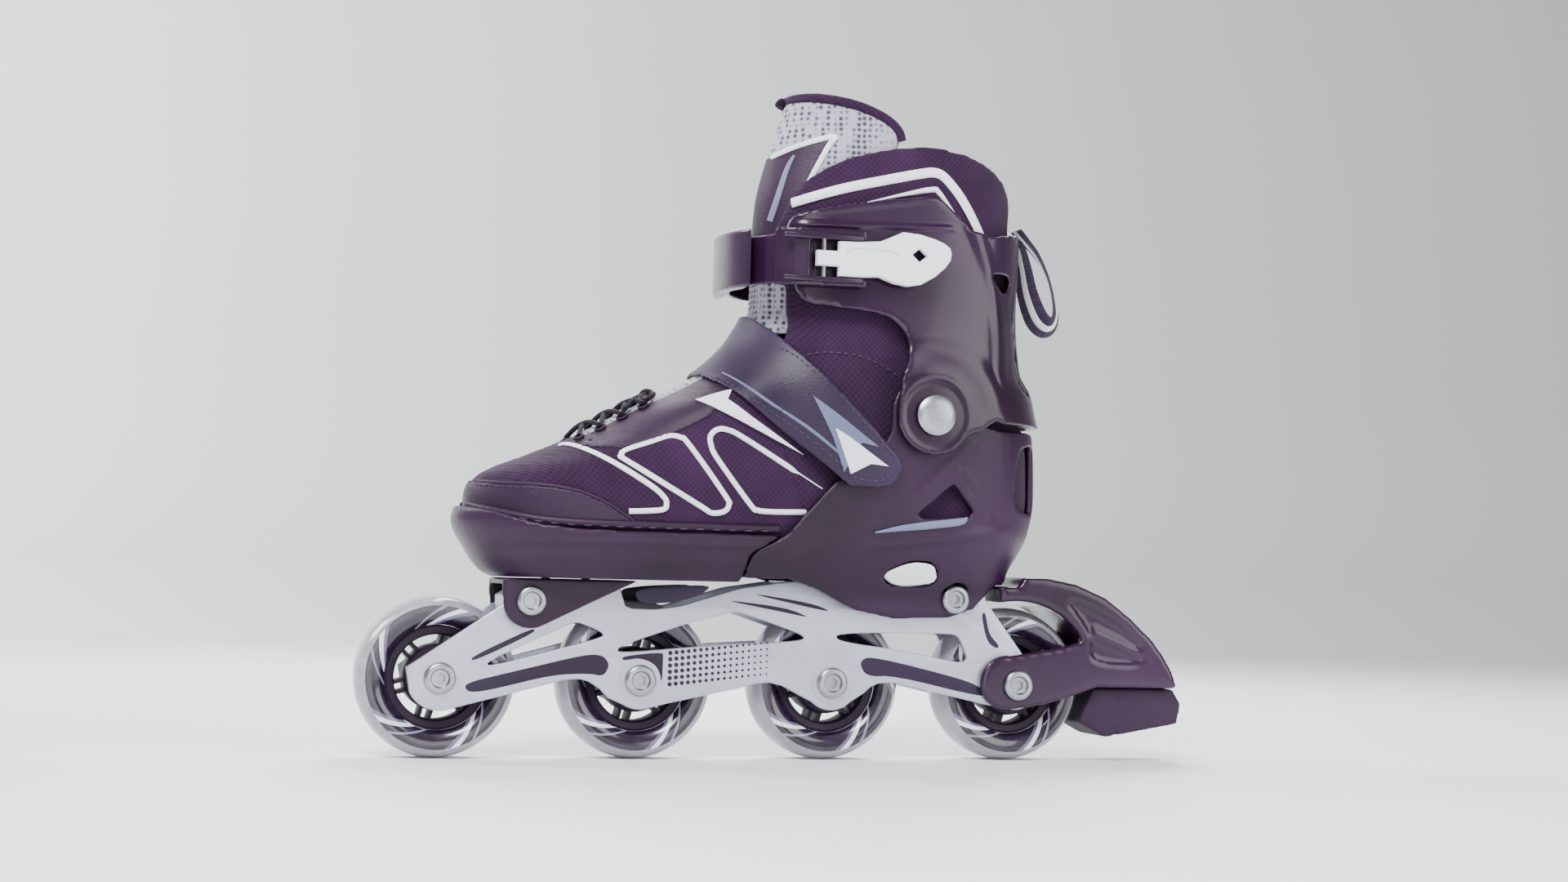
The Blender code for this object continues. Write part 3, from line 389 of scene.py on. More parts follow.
MATERIALS = {
    "shell_plastic": plastic("shell_plastic_look", (24, 3, 27), (52, 22, 58), 0.4),
    "glossy_plastic": plastic("glossy_plastic_look", (21, 2, 24), (48, 20, 54), 0.26, 0.02, coat=0.25),
    "white_plastic": plastic("white_plastic_look", (228, 229, 238), (244, 245, 250), 0.32, 0.02, 0.2),
    "frame_aluminium": metal("frame_aluminium_look", (186, 189, 204), 0.34, (1, 1, 12), 0.6),
    "inlay": plastic("rail_inlay_look", (24, 8, 34), (42, 26, 58), 0.4),
    "steel": metal("steel_look", (150, 148, 150), 0.26),
    "satin_steel": metal("satin_steel_look", (168, 170, 178), 0.34, depth=0.01),
    "urethane": urethane("urethane_look"),
    "print": printed_ring("wheel_print_look"),
    "hub_plastic": plastic("hub_plastic_look", (14, 3, 18), (34, 16, 40), 0.5),
    "brake_rubber": plastic("brake_rubber_look", (20, 5, 24), (46, 26, 52), 0.72, 0.12, 0.6),
    "boot_fabric": woven("boot_fabric_look", (14, 1, 18), (62, 34, 70), 1.3, 0.22),
    "lining": woven("lining_look", (12, 3, 16), (34, 16, 40), 0.8, 0.08),
    "panel_fabric": woven("panel_fabric_look", (16, 1, 20), (58, 32, 65), 1.6, 0.26),
    "synthetic": plastic("synthetic_leather_look", (23, 3, 26), (48, 22, 54), 0.46, 0.16, 0.3),
    "strap_synthetic": plastic("strap_synthetic_look", (32, 17, 44), (54, 38, 70), 0.42, 0.12, 0.4),
    "grey_mesh_cloth": open_mesh("grey_mesh_look", (176, 176, 190), (58, 50, 76), 2.6),
    "lace_cord": woven("lace_cord_look", (14, 2, 19), (26, 8, 32), 0.9, 0.08),
    "white_print": plastic("white_print_look", (224, 225, 236), (246, 246, 252), 0.5, 0.06, 0.2),
    # Slate is the printed chevron on the power strap. It is also used for painted highlights: light slate
    # ribbons where light catches the heel shell's rib, the tongue panel and the power strap.
    "slate_print": plastic("slate_print_and_highlight_look", (92, 98, 130), (120, 126, 154), 0.5, 0.06, 0.2),
    "webbing": woven("webbing_look", (36, 18, 44), (84, 70, 96), 1.2, 0.2),
    "thread": woven("thread_look", (46, 28, 54), (88, 72, 100), 0.5, 0.1),
}


# ---------------------------------------------------------------- building
def new_object(name, mesh, material=None):
    obj = bpy.data.objects.new(name, mesh)
    bpy.context.scene.collection.objects.link(obj)
    if material:
        mesh.materials.clear()
        mesh.materials.append(MATERIALS[material])
    return obj


def mesh_from_bmesh(name, bm):
    bmesh.ops.recalc_face_normals(bm, faces=bm.faces)
    mesh = bpy.data.meshes.new(name)
    bm.to_mesh(mesh)
    bm.free()
    return mesh


def evaluated_mesh(obj):
    bpy.context.view_layer.update()
    return bpy.data.meshes.new_from_object(obj.evaluated_get(bpy.context.evaluated_depsgraph_get()))


def baked(obj):
    """obj with its modifiers in its mesh; their other objects are removed."""
    mesh = evaluated_mesh(obj)
    others = {m.object for m in obj.modifiers if m.type == "BOOLEAN"}
    obj.modifiers.clear()
    obj.data = mesh
    for other in others:
        bpy.data.objects.remove(other)
    return obj


def boolean(obj, other, operation="DIFFERENCE"):
    modifier = obj.modifiers.new(operation, "BOOLEAN")
    modifier.operation, modifier.object, modifier.solver = operation, other, "EXACT"
    return obj


def moulded(obj, voxel_mm, smooth=4):
    """Rounds every edge a little, as moulding does."""
    baked(obj)
    remesh = obj.modifiers.new("remesh", "REMESH")
    remesh.mode, remesh.voxel_size = "VOXEL", voxel_mm * MM
    soft = obj.modifiers.new("smooth", "SMOOTH")
    soft.factor, soft.iterations = 0.5, smooth
    baked(obj)
    obj.data.shade_smooth()
    return obj


def sharpened(obj, degrees=35):
    obj.data.shade_smooth()
    obj.data.set_sharp_from_angle(angle=math.radians(degrees))
    return obj


def arc(centre, radius, start, end, steps):
    angles = [math.radians(start + (end - start) * i / steps) for i in range(steps + 1)]
    return [(centre[0] + radius * math.cos(a), centre[1] + radius * math.sin(a)) for a in angles]


def circle(centre, radius):
    return arc(centre, radius, 0, 360, 48)[:-1]


def rounded(points, rounds=2):
    """A closed outline with its corners cut round."""
    for _ in range(rounds):
        following = points[1:] + points[:1]
        points = [
            (a[0] + (b[0] - a[0]) * t, a[1] + (b[1] - a[1]) * t)
            for a, b in zip(points, following) for t in (0.22, 0.78)
        ]
    return points


def side_plate(name, outlines, y_low, y_high, material=None, bevel=0.0):
    """A plate that stands along the skate, with rounded edges."""
    curve = bpy.data.curves.new(name, "CURVE")
    curve.dimensions, curve.fill_mode = "2D", "BOTH"
    curve.extrude = ((y_high - y_low) / 2 - bevel) * MM
    curve.bevel_depth, curve.bevel_resolution, curve.offset = bevel * MM, 2, -bevel * MM
    for outline in outlines:
        spline = curve.splines.new("POLY")
        spline.points.add(len(outline) - 1)
        for point, (u, v) in zip(spline.points, outline):
            point.co = (u * MM, v * MM, 0, 1)
        spline.use_cyclic_u = True
    flat = bpy.data.objects.new(name + "_outline", curve)
    bpy.context.scene.collection.objects.link(flat)
    mesh = evaluated_mesh(flat)
    bpy.data.objects.remove(flat)
    bm = bmesh.new()
    bm.from_mesh(mesh)
    bmesh.ops.remove_doubles(bm, verts=bm.verts, dist=1e-6)
    mesh = mesh_from_bmesh(name, bm)
    mesh.transform(Matrix.Translation(at(0, (y_low + y_high) / 2, 0)) @ Matrix.Rotation(math.pi / 2, 4, "X"))
    return new_object(name, mesh, material)


def box(name, low, high):
    bm = bmesh.new()
    centre = at(*[(a + b) / 2 for a, b in zip(low, high)])
    size = [(b - a) * MM for a, b in zip(low, high)]
    bmesh.ops.create_cube(bm, size=1.0, matrix=Matrix.Translation(centre) @ Matrix.Diagonal((*size, 1)))
    return new_object(name, mesh_from_bmesh(name, bm))


def rod(name, x, z, y_low, y_high, radius, material=None, steps=48):
    bm = bmesh.new()
    turn = Matrix.Translation(at(x, (y_low + y_high) / 2, z)) @ Matrix.Rotation(math.pi / 2, 4, "X")
    bmesh.ops.create_cone(bm, cap_ends=True, segments=steps, radius1=radius * MM, radius2=radius * MM,
                          depth=(y_high - y_low) * MM, matrix=turn)
    return new_object(name, mesh_from_bmesh(name, bm), material)


def turned(name, profile, material=None, steps=96, place=None):
    """A closed (radius, y) profile turned about the y axis. With place, its object stands there."""
    bm = bmesh.new()
    rows = []
    for r, y in profile:
        count = 1 if r == 0 else steps
        angles = [2 * math.pi * i / steps for i in range(count)]
        rows.append([bm.verts.new((r * MM * math.cos(a), y * MM, r * MM * math.sin(a))) for a in angles])
    for one, two in zip(rows, rows[1:] + rows[:1]):
        if len(one) == 1 and len(two) == 1:
            continue
        for i in range(steps):
            j = (i + 1) % steps
            corners = [one[i % len(one)], one[j % len(one)], two[j % len(two)], two[i % len(two)]]
            bm.faces.new(list(dict.fromkeys(corners)))
    obj = new_object(name, mesh_from_bmesh(name, bm), material)
    if place is not None:
        obj.location = place
    return sharpened(obj)


def loft(name, loops):
    bm = bmesh.new()
    rows = [[bm.verts.new(at(*point)) for point in loop] for loop in loops]
    for row, following in zip(rows, rows[1:]):
        for j in range(len(row)):
            k = (j + 1) % len(row)
            bm.faces.new((row[j], row[k], following[k]))
            bm.faces.new((row[j], following[k], following[j]))
    bm.faces.new(rows[0])
    bm.faces.new(rows[-1])
    return new_object(name, mesh_from_bmesh(name, bm))


def levels(low, high, pitch):
    count = max(2, round((high - low) / pitch))
    return [low + (high - low) * i / count for i in range(count + 1)]


def wall(name, skin, z_range, profile, outer, inner, material, pitch=3.0, steps=44, reach=2):
    """The part of a skin inside a side profile, from outer to inner (both insets). reach is how far past the
    z_range the inside goes, to leave the ends open."""
    low, high = z_range
    zs = levels(low, high, pitch)
    piece = side_plate(name, [profile], -PAST_SIDES, PAST_SIDES, material)
    boolean(piece, loft(name + "_outer", [skin.loop(z, outer, steps=steps) for z in zs]), "INTERSECT")
    places = [low - reach] + zs[1:-1] + [high + reach]
    inside = [skin.loop(z, inner, place, steps) for z, place in zip(zs, places)]
    boolean(piece, loft(name + "_inner", inside))
    return piece


def moved(obj, shift):
    """Moves each vertex by what shift(x, y, z) gives, in millimetres."""
    for vertex in obj.data.vertices:
        x, y, z = vertex.co.x / MM - BOX_SHIFT_X, vertex.co.y / MM, vertex.co.z / MM
        vertex.co += Vector(shift(x, y, z)) * MM
    obj.data.update()
    return obj


def spline_points(points, closed=False, steps=8):
    """Points along a smooth curve through the given ones."""
    count = len(points)
    out = []
    for i in range(count if closed else count - 1):
        near = [i + k for k in (-1, 0, 1, 2)]
        p = [Vector(points[k % count if closed else min(count - 1, max(0, k))]) for k in near]
        for step in range(steps):
            t = step / steps
            out.append(0.5 * (2 * p[1] + (p[2] - p[0]) * t + (2 * p[0] - 5 * p[1] + 4 * p[2] - p[3]) * t * t
                              + (3 * p[1] - p[0] - 3 * p[2] + p[3]) * t**3))
    if not closed:
        out.append(Vector(points[-1]))
    return out


def swept(bm, centres, normals, widths, height, closed=False, segments=8):
    """A flattened tube along centres, lying on a surface with those normals."""
    rings, count = [], len(centres)
    for i, (centre, normal) in enumerate(zip(centres, normals)):
        before = centres[(i - 1) % count] if closed or i else centre
        after = centres[(i + 1) % count] if closed or i < count - 1 else centre
        tangent = (after - before).normalized()
        across = normal.cross(tangent).normalized()
        ring = []
        for k in range(segments):
            a = 2 * math.pi * k / segments
            place = centre + across * (math.cos(a) * widths[i] / 2) + normal * (math.sin(a) * height / 2)
            ring.append(bm.verts.new(at(*place)))
        rings.append(ring)
    pairs = list(zip(rings, rings[1:])) + ([(rings[-1], rings[0])] if closed else [])
    for one, two in pairs:
        for k in range(segments):
            m = (k + 1) % segments
            bm.faces.new((one[k], one[m], two[m], two[k]))
    if not closed:
        bm.faces.new(rings[0])
        bm.faces.new(rings[-1])


def piping(name, skin, path, width, material, lift=0.0, height=1.2, closed=False):
    """A raised line on both sides of a skin, through (x, z) points. width is one number or one per point."""
    bm = bmesh.new()
    widths = width if isinstance(width, (list, tuple)) else [width] * len(path)
    smooth = spline_points([(x, z, w) for (x, z), w in zip(path, widths)], closed)
    for side, _ in SIDES:
        centres = [skin.point(x, z, side, lift) for x, z, _ in smooth]
        normals = [skin.normal(x, z, side) for x, z, _ in smooth]
        swept(bm, centres, normals, [w for _, _, w in smooth], height, closed)
    return sharpened(new_object(name, mesh_from_bmesh(name, bm), material), 60)


def stitches(name, skin, path, lift, pitch=3.2, length=2.0, width=0.7):
    """A row of separate stitches on both sides of a skin, along (x, z) points."""
    bm = bmesh.new()
    points = spline_points([(x, z, 0) for x, z in path], steps=24)
    for side, _ in SIDES:
        line = [skin.point(x, z, side, lift) for x, z, _ in points]
        travelled, due = 0.0, 0.0
        for (x, z, _), a, b in zip(points, line, line[1:]):
            step = (b - a).length
            travelled += step
            if travelled < due or step < 1e-6:
                continue
            due = travelled + pitch
            along, normal = (b - a).normalized(), skin.normal(x, z, side)
            centres = [a - along * length / 2, a + normal * 0.25, a + along * length / 2]
            swept(bm, centres, [normal] * 3, [width * 0.6, width, width * 0.6], 0.6, segments=5)
    return new_object(name, mesh_from_bmesh(name, bm), "thread")


def cord_piece(name, routes, radius, material):
    """Round cord along smooth routes."""
    bm = bmesh.new()
    for route in routes:
        points = spline_points(route, steps=6)
        up = Vector((0, 0, 1))
        normals = []
        for a, b in zip(points, points[1:] + points[-1:]):
            tangent = (b - a).normalized() if (b - a).length > 1e-6 else Vector((1, 0, 0))
            normals.append((up - tangent * up.dot(tangent)).normalized())
        swept(bm, points, normals, [2 * radius] * len(points), 2 * radius)
    obj = new_object(name, mesh_from_bmesh(name, bm), material)
    obj.data.shade_smooth()
    return obj


def labelled(obj, nodes):
    """Hides the CAD nodes that a piece stands for."""
    if nodes:
        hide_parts(*nodes)
    return obj


def finished(obj, body, slot, *nodes):
    """A piece that moves with one body."""
    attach(obj, body)
    return labelled(obj, nodes)


def stretched(obj, slot, *nodes):
    """Fabric of the forefoot: its transform is put into its mesh, and the CAD nodes it stands for are hidden.
    """
    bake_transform(obj)
    return labelled(obj, nodes)


def flexed(obj, slot, *nodes, start=at(40, 0, 166), end=at(40, 0, 206)):
    """Fabric of the ankle opening: its transform is put into its mesh, and the CAD nodes it stands for are
    hidden.
    """
    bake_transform(obj)
    return labelled(obj, nodes)


# ---------------------------------------------------------------- wheels and axles
TYRE = [
    (22.9, -8.5), (24.5, -10.4), (27, -11.5), (29.5, -12), (31.4, -11.5), (33.2, -9), (34.3, -6), (34.9, -3),
    (35, 0), (34.9, 3), (34.3, 6), (33.2, 9), (31.4, 11.5), (29.5, 12), (27, 11.5), (24.5, 10.4), (22.9, 8.5)
]
TYRE_PRINT = [(22.8, 8.6), (24.5, 10.55), (27, 11.65), (29.5, 12.0), (31.0, 11.75), (31.0, 11.3), (27, 11.2),
              (24.5, 10.1), (22.8, 8.2)]
HUB_RING = [
    (18.4, -6.6), (19, -7.5), (21.6, -8.2), (22.6, -7.5), (22.6, 7.5), (21.6, 8.2), (19, 7.5), (18.4, 6.6)
]
HUB_CORE = [
    (11.3, -12), (13.2, -12), (13.8, -11.3), (14.4, -6), (14.4, 6), (13.8, 11.3), (13.2, 12), (11.3, 12),
    (11.3, 5), (9, 5), (9, -5), (11.3, -5)
]
BEARING = [
    (4.3, 11.6), (5.0, 12), (5.9, 12), (6.1, 11.5), (9.2, 11.5), (9.4, 11.9), (10.6, 12), (11, 11.7),
    (11, 5.4), (4.3, 5.4)
]
SPOKES = 12
SPOKE_SIZE = (6.2 * MM, 10 * MM, 1.7 * MM, 1)


def spokes():
    bm = bmesh.new()
    for i in range(SPOKES):
        sign = 1 if i % 2 else -1
        turn = Matrix.Rotation(math.radians(360 / SPOKES * i + 7 * sign), 4, "Y")
        lean = Matrix.Rotation(math.radians(9 * sign), 4, "Y")
        place = turn @ Matrix.Translation((16.4 * MM, 0, 0)) @ lean
        bmesh.ops.create_cube(bm, size=1.0, matrix=place @ Matrix.Diagonal(SPOKE_SIZE))
    return new_object("spokes", mesh_from_bmesh("spokes", bm))


def make_wheel(number, x):
    body, place = f"wheel_{number}", at(x, 0, AXLE_Z)
    finished(turned(f"{body}_rim", TYRE, "urethane", 96, place), body, "urethane", f"{body}_tyre")
    for side, end in SIDES:
        ring = turned(f"{body}_print_{end}", on_side(TYRE_PRINT, side), "print", 96, place)
        finished(ring, body, "urethane")
    hub = turned(f"{body}_core", HUB_RING, "hub_plastic", 64)
    boolean(hub, turned("core", HUB_CORE, None, 48), "UNION")
    boolean(hub, spokes(), "UNION")
    baked(hub).location = place
    finished(sharpened(hub), body, "hub_plastic", f"{body}_hub")
    for side, end in SIDES:
        bearing = turned(f"{body}_race_{end}", on_side(BEARING, side), "steel", 48, place)
        finished(bearing, body, "steel", f"{body}_bearing_{end}")


def socket_head(name, x, z, y, radius, height, body, *nodes, reach=3.0):
    """Dished bolt heads on both sides with six-sided sockets."""
    profile = [(0, -reach), (0.6 * radius, -reach), (0.6 * radius, 0), (radius, 0), (radius, 0.45 * height),
               (0.93 * radius, 0.8 * height), (0.8 * radius, height), (0.62 * radius, height),
               (0.52 * radius, 0.45 * height), (0, 0.45 * height)]
    for side, end in SIDES:
        raised = [(r, side * (y + above)) for r, above in profile]
        head = turned(f"{name}_{end}", raised, "satin_steel", 64)
        low, high = span_of(side, y - 0.6, y + height + 2)
        bm = bmesh.new()
        turn = Matrix.Translation((0, (low + high) / 2 * MM, 0)) @ Matrix.Rotation(math.pi / 2, 4, "X")
        bmesh.ops.create_cone(bm, cap_ends=True, segments=6, radius1=0.36 * radius * MM,
                              radius2=0.36 * radius * MM, depth=(high - low) * MM, matrix=turn)
        boolean(head, new_object("socket", mesh_from_bmesh("socket", bm)))
        baked(head).location = at(x, 0, z)
        finished(sharpened(head), body, "steel", *(nodes if side < 0 else ()))


# ---------------------------------------------------------------- frame
RAIL_WINDOWS = [
    [(-112.2, 41.9), (-76.3, 58.8), (-73.4, 59.7), (-70.6, 59.6), (-60.7, 55.5), (-61, 53.4), (-109.3, 40.3)],
    [
        (-54, 49.6), (-20.1, 61.2), (-1.6, 65.9), (2, 65.4), (30.7, 56), (30.4, 53.4), (-12.4, 50.9),
        (-53.9, 46.7)
    ],
    [(45.9, 57.3), (100.3, 57.9), (104, 56.4), (105.5, 53.5), (109.7, 43.5), (79, 49.8), (46, 53.7)]
]
INLAYS = {
    "strut": [(-118.5, 44.2), (-92, 57.2), (-90.5, 55.4), (-117.4, 42.2)],
    "front": [
        (-121, 33), (-100, 38.2), (-68, 46.2), (-60.5, 45.8), (-57.5, 41.8), (-60, 36.6), (-66.6, 37.8),
        (-82.7, 37.0), (-112, 29.6), (-119.5, 29.2)
    ],
    "bridge": [(-47.5, 74.4), (-36, 76.4), (-12, 77.6), (-17, 73.2), (-28, 69.6), (-45, 68.2)],
    "lower_bar": [
        (-52, 45.6), (-34, 47.6), (-33.6, 45.4), (-34, 33.0), (-36, 41.5), (-44, 45.0), (-52, 43.4)
    ],
    "rear_edge": [(118.5, 58), (124, 52.5), (122, 51.4), (117.5, 54.6), (114.6, 66.5), (116.4, 68.5)],
    "slit_a": [(-10, 71.5), (22, 68.2), (34, 63.6), (20, 66.2)],
    "slit_b": [(2, 74.8), (34, 70.4), (44, 66.4), (30, 68.9)],
    "rear": [(56.5, 44.5), (62, 47.4), (108, 37.0), (117.5, 32.2), (117, 28.9), (74, 38.4), (60, 38.0)]
}


def rail_outline():
    front, second, third, rear = [(x, AXLE_Z) for x in AXLE_XS]
    return (
        arc(front, 14.0, 205, 280, 18)
        + [(-82.7, 33.3), (-78, 34.7), (-74.2, 35.1), (-70, 35.2), (-66.6, 34.2), (-62, 31.4), (-57.7, 27.2)]
        + arc(second, 12.8, 240, 290, 12)
        + [(-31.7, 24.9), (2.6, 32.4), (9, 34.1), (15, 34.7), (21, 33.3)]
        + arc(third, 12.4, 225, 315, 14)
        + [(59.3, 30.4), (62.5, 33.4), (66.1, 34.9), (73.1, 35.4), (117.6, 25.8)]
        + arc(rear, 11.5, 250, 400, 20)
        + [(116.6, 73.4), (115.5, 80.0), (30, 80.0), (23, 79.8), (16.8, 79), (0.3, 76.4), (-26.6, 68)]
        + [(-38, 66.4), (-48, 66.5), (-51.2, 67.5), (-53.6, 75)]
        + arc(FRONT_BOLT, 6.5, 80, 180, 10)
        + [(-106, 66.5), (-146, 39.5)]
    )


def make_rail(side, end, holes):
    rail = side_plate(
        f"rail_{end}", [rail_outline()] + holes, *span_of(side, *RAIL_Y), "frame_aluminium", 0.6
    )
    for i, x in enumerate(AXLE_XS):
        boolean(rail, rod(f"boss_{i}", x, AXLE_Z, *span_of(side, 12.3, 15), 6.2), "UNION")
        boolean(rail, rod(f"pad_{i}", x, AXLE_Z, *span_of(side, 15, 17.5 if i < 3 else 17), 9.2), "UNION")
        boolean(rail, rod(f"hole_{i}", x, AXLE_Z, -30, 30, 4.3))
    finished(sharpened(baked(rail), 40), "chassis", "frame_aluminium", f"frame_rail_{end}")


def make_dots(side, end):
    """A field of dots that shrink towards the heel."""
    bm = bmesh.new()
    pitch = 2.75
    for column in range(17):
        for row in range(6):
            x, z = -30.5 + column * pitch, 33.5 + row * pitch + column * 0.32
            if z < 28.5 + 0.22 * (x + 31):
                continue
            radius = (1.02 - column * 0.038) * MM
            turn = Matrix.Translation(at(x, side * 17.05, z)) @ Matrix.Rotation(math.pi / 2, 4, "X")
            bmesh.ops.create_cone(
                bm, cap_ends=True, segments=10, radius1=radius, radius2=radius, depth=0.22 * MM, matrix=turn
            )
    finished(
        new_object(f"rail_dots_{end}", mesh_from_bmesh("dots", bm), "inlay"), "chassis", "frame_aluminium"
    )


def make_frame():
    holes = [rounded(window, 3) for window in RAIL_WINDOWS]
    holes += [circle(centre, 3.3) for centre in (FRONT_BOLT, REAR_BOLT)]
    for side, end in SIDES:
        make_rail(side, end, holes)
        for label, outline in INLAYS.items():
            layer = span_of(side, 16.4, 17.12)
            inlay = side_plate(f"rail_inlay_{label}_{end}", [rounded(outline)], *layer, "inlay", 0.05)
            finished(sharpened(inlay), "chassis", "frame_aluminium")
        make_dots(side, end)


def make_brake():
    rear = (AXLE_XS[3], AXLE_Z)
    arm = (
        arc((126.3, 36), 12.5, 80, 285, 20)
        + [(144.7, 26), (160, 30.5), (170.8, 34.2), (211.3, 34.2), (208.5, 42), (204.2, 49), (198.2, 56.5)]
        + [(187.1, 66.5), (174.9, 75.5), (160, 81.5), (145, 84.2), (134, 84.2), (132.3, 79.8), (122.3, 79.8)]
        + arc(rear, 38.3, 103, 35, 16)
        + [(162.6, 55.2), (151.4, 52.3)]
    )
    body = side_plate("brake_bracket", [arm], -20.8, 20.8, "glossy_plastic")
    fork = arc(rear, 38.2, 112, 400, 40) + [(161, 60), (150, 70), (135, 73)]
    boolean(body, side_plate("fork", [fork], -17.3, 17.3))
    boolean(body, rod("axle_hole", *rear, -30, 30, 4.3))
    hollow = rounded(
        [(167, 46), (190, 44), (196, 50), (184, 63), (168, 71), (154, 75.5), (163, 64), (168, 56)]
    )
    rib = [(168, 58), (197, 46.5), (199, 49), (169, 61)]
    for side, _ in SIDES:
        boolean(body, side_plate("hollow", [hollow], *span_of(side, 19.2, 24)))
        boolean(body, side_plate("rib", [rib], *span_of(side, 18.0, 20.6)), "UNION")
    moulded(body, 1.1, 5)
    finished(body, "chassis", "shell_plastic", "brake_arm")
    pad = [(171.2, 33.8), (211, 33.8), (215.5, 26.8), (213.5, 17.6), (177.8, 11.2), (164.5, 18), (168, 27)]
    block = side_plate("brake_block", [pad], -15.5, 15.5, "brake_rubber")
    boolean(block, side_plate("pad_groove", [[(181.5, 9), (183, 9), (184.5, 34.2), (183, 34.2)]], -17, 17))
    moulded(block, 1.0, 4)
    finished(block, "chassis", "brake_rubber", "brake_pad")


# ---------------------------------------------------------------- plastic shell
def make_toe_shell():
    profile = [
        (-130, 76), (-130, 109.4), (-122, 109.2), (-113, 107.6), (-104, 104.6), (-95, 102.4), (-78, 100.4),
        (-60, 100), (13.5, 100), (-0.9, 91), (-3.3, 79)
    ]
    toe = wall("toe_bumper", SHELL, (79, 113), profile, 0, 4.3, "shell_plastic", 2)
    tuck = wall("tuck", SHELL, (84.4, 98), [(-15, 80), (-15, 96.5), (36, 96.5), (36, 80)], 3.5, 5.5, None, 2)
    boolean(toe, baked(tuck), "UNION")
    moulded(toe, 1.15, 4)

    def detail(x, y, z):
        lines = 0.5 * bump(z, 99.6, 3.0) - 0.5 * bump(z, 95.0, 2.4) + 0.5 * bump(z, 87, 5)
        return (0, math.copysign(lines * smooth_step(-118, -96, x), y), 0)

    finished(moved(toe, detail), "toe", "shell_plastic", "toe_shell")
    seam = [(-1.2, 85), (1.8, 91.6), (9, 96)]
    finished(piping("toe_parting_line", SHELL, seam, 0.9, "inlay", -0.1, 0.8), "toe", "shell_plastic")


def button_outline(grow=0.0):
    return rounded([
        (61.5 - grow, 84), (70 - grow, 78.6 - grow), (87.5 + grow, 80.3 - grow), (88.5 + grow, 84),
        (85.5 + grow, 89.2 + grow), (75, 90 + grow),
    ])


def near_line(x, z, a, b, half_width):
    """1 on the line from a to b, falling smoothly to 0 at half_width from it."""
    along = Vector((b[0] - a[0], b[1] - a[1]))
    share = min(1.0, max(0.0, Vector((x - a[0], z - a[1])).dot(along) / along.length_squared))
    return bump(math.hypot(x - a[0] - along.x * share, z - a[1] - along.y * share), 0, half_width)


def make_heel_shell():
    ears = [
        (129.5, 80.7), (121, 80), (120, 71), (109, 68.5), (97.6, 65), (71, 64.2), (52.4, 67.8), (33.8, 76.4)
    ]
    arm = [(-2.4, 80.7), (-0.1, 91), (15.3, 100.5), (33, 120.5), (40, 128), (57, 138.5), (61.2, 146)]
    lobe = arc(CUFF_PIVOT, 19.0, 185, 20, 24)
    back = [(104, 155), (109, 151), (116, 150.4), (148, 150.4), (148, 80.7)]
    heel = wall(
        "heel_counter", SHELL, (64, 178), arm + lobe + back + ears + [(20, 80.7)], 0, 3.0, "shell_plastic", 3
    )
    boolean(heel, box("core", (-10, -26, 84.0), (112, 26, 170)))
    boolean(heel, box("channel", (-10, -17.3, 50), (150, 17.3, 80.3)))
    boolean(heel, side_plate("window", [[(74.2, 109.4), (92.5, 125), (104, 111)]], -PAST_SIDES, PAST_SIDES))
    hole = rounded([(124, 118), (128, 114), (150, 112), (150, 144), (129, 144), (125.5, 137)])
    for side, _ in SIDES:
        boolean(heel, side_plate("back_window", [hole], *span_of(side, 11, PAST_SIDES)))
        boolean(heel, rod("bolt_recess", *REAR_BOLT, *span_of(side, 21.6, 50), 7.4))
    boolean(heel, rod("bolt_hole", *REAR_BOLT, -50, 50, 3.3))
    boolean(heel, side_plate("button_hole", [button_outline(0.7)], -50, -21.4))
    moulded(heel, 1.15, 4)

    def detail(x, y, z):
        edge = near_line(x, z, (64, 110), (100, 143), 4.5) - 1.2 * near_line(x, z, (107, 112), (97, 128), 5)
        rising, falling = near_line(x, z, (94, 131), (112, 108), 3), near_line(x, z, (20, 88), (52, 112), 7)
        edge += 1.2 * rising - 0.9 * falling
        rib = bump(z - 0.13 * (x - 96), 101.5, 4.0) * smooth_step(50, 66, x) * (1 - smooth_step(112, 126, x))
        foot = bump(z, 79.5, 4) * smooth_step(20, 40, x) * (1 - smooth_step(104, 116, x))
        out = 0.5 * edge + 1.1 * rib + 0.4 * foot
        return (0, math.copysign(out, y), 0) if abs(y) > 14 else (0, 0, 0)

    finished(moved(heel, detail), "chassis", "shell_plastic", "heel_shell")
    # Painted highlight: a light slate ribbon along the heel shell's rib, standing in for the light that
    # catches it.
    highlight_line = [(55.7, 102.4), (67.7, 104.6), (80, 106.2), (96, 108.4), (99, 110.4)]
    finished(piping("heel_painted_highlight", SHELL, highlight_line, [0.8, 2.6, 3.4, 3.2, 0.8], "slate_print", 0.9, 1.4), "chassis",
             "shell_plastic")
    button = side_plate("size_catch", [button_outline()], -40, -25, "white_plastic", 0)
    boolean(button, loft("face", [SHELL.loop(z, -1.0) for z in levels(70, 98, 2)]), "INTERSECT")
    moulded(button, 0.6, 4)
    finished(button, "button", "white_plastic", "size_button")


def make_mount():
    ear = arc(FRONT_BOLT, 12.0, 170, 300, 20) + [(-54, 75), (-46, 78.6), (-106, 78.6), (-106, 71)]
    mount = side_plate("toe_mount", [ear, circle(FRONT_BOLT, 3.3)], -20.8, 20.8, "shell_plastic")
    boolean(mount, box("channel", (-120, -17.3, 50), (-40, 17.3, 75.8)))
    finished(moulded(mount, 0.9, 4), "chassis", "shell_plastic", "front_mount")


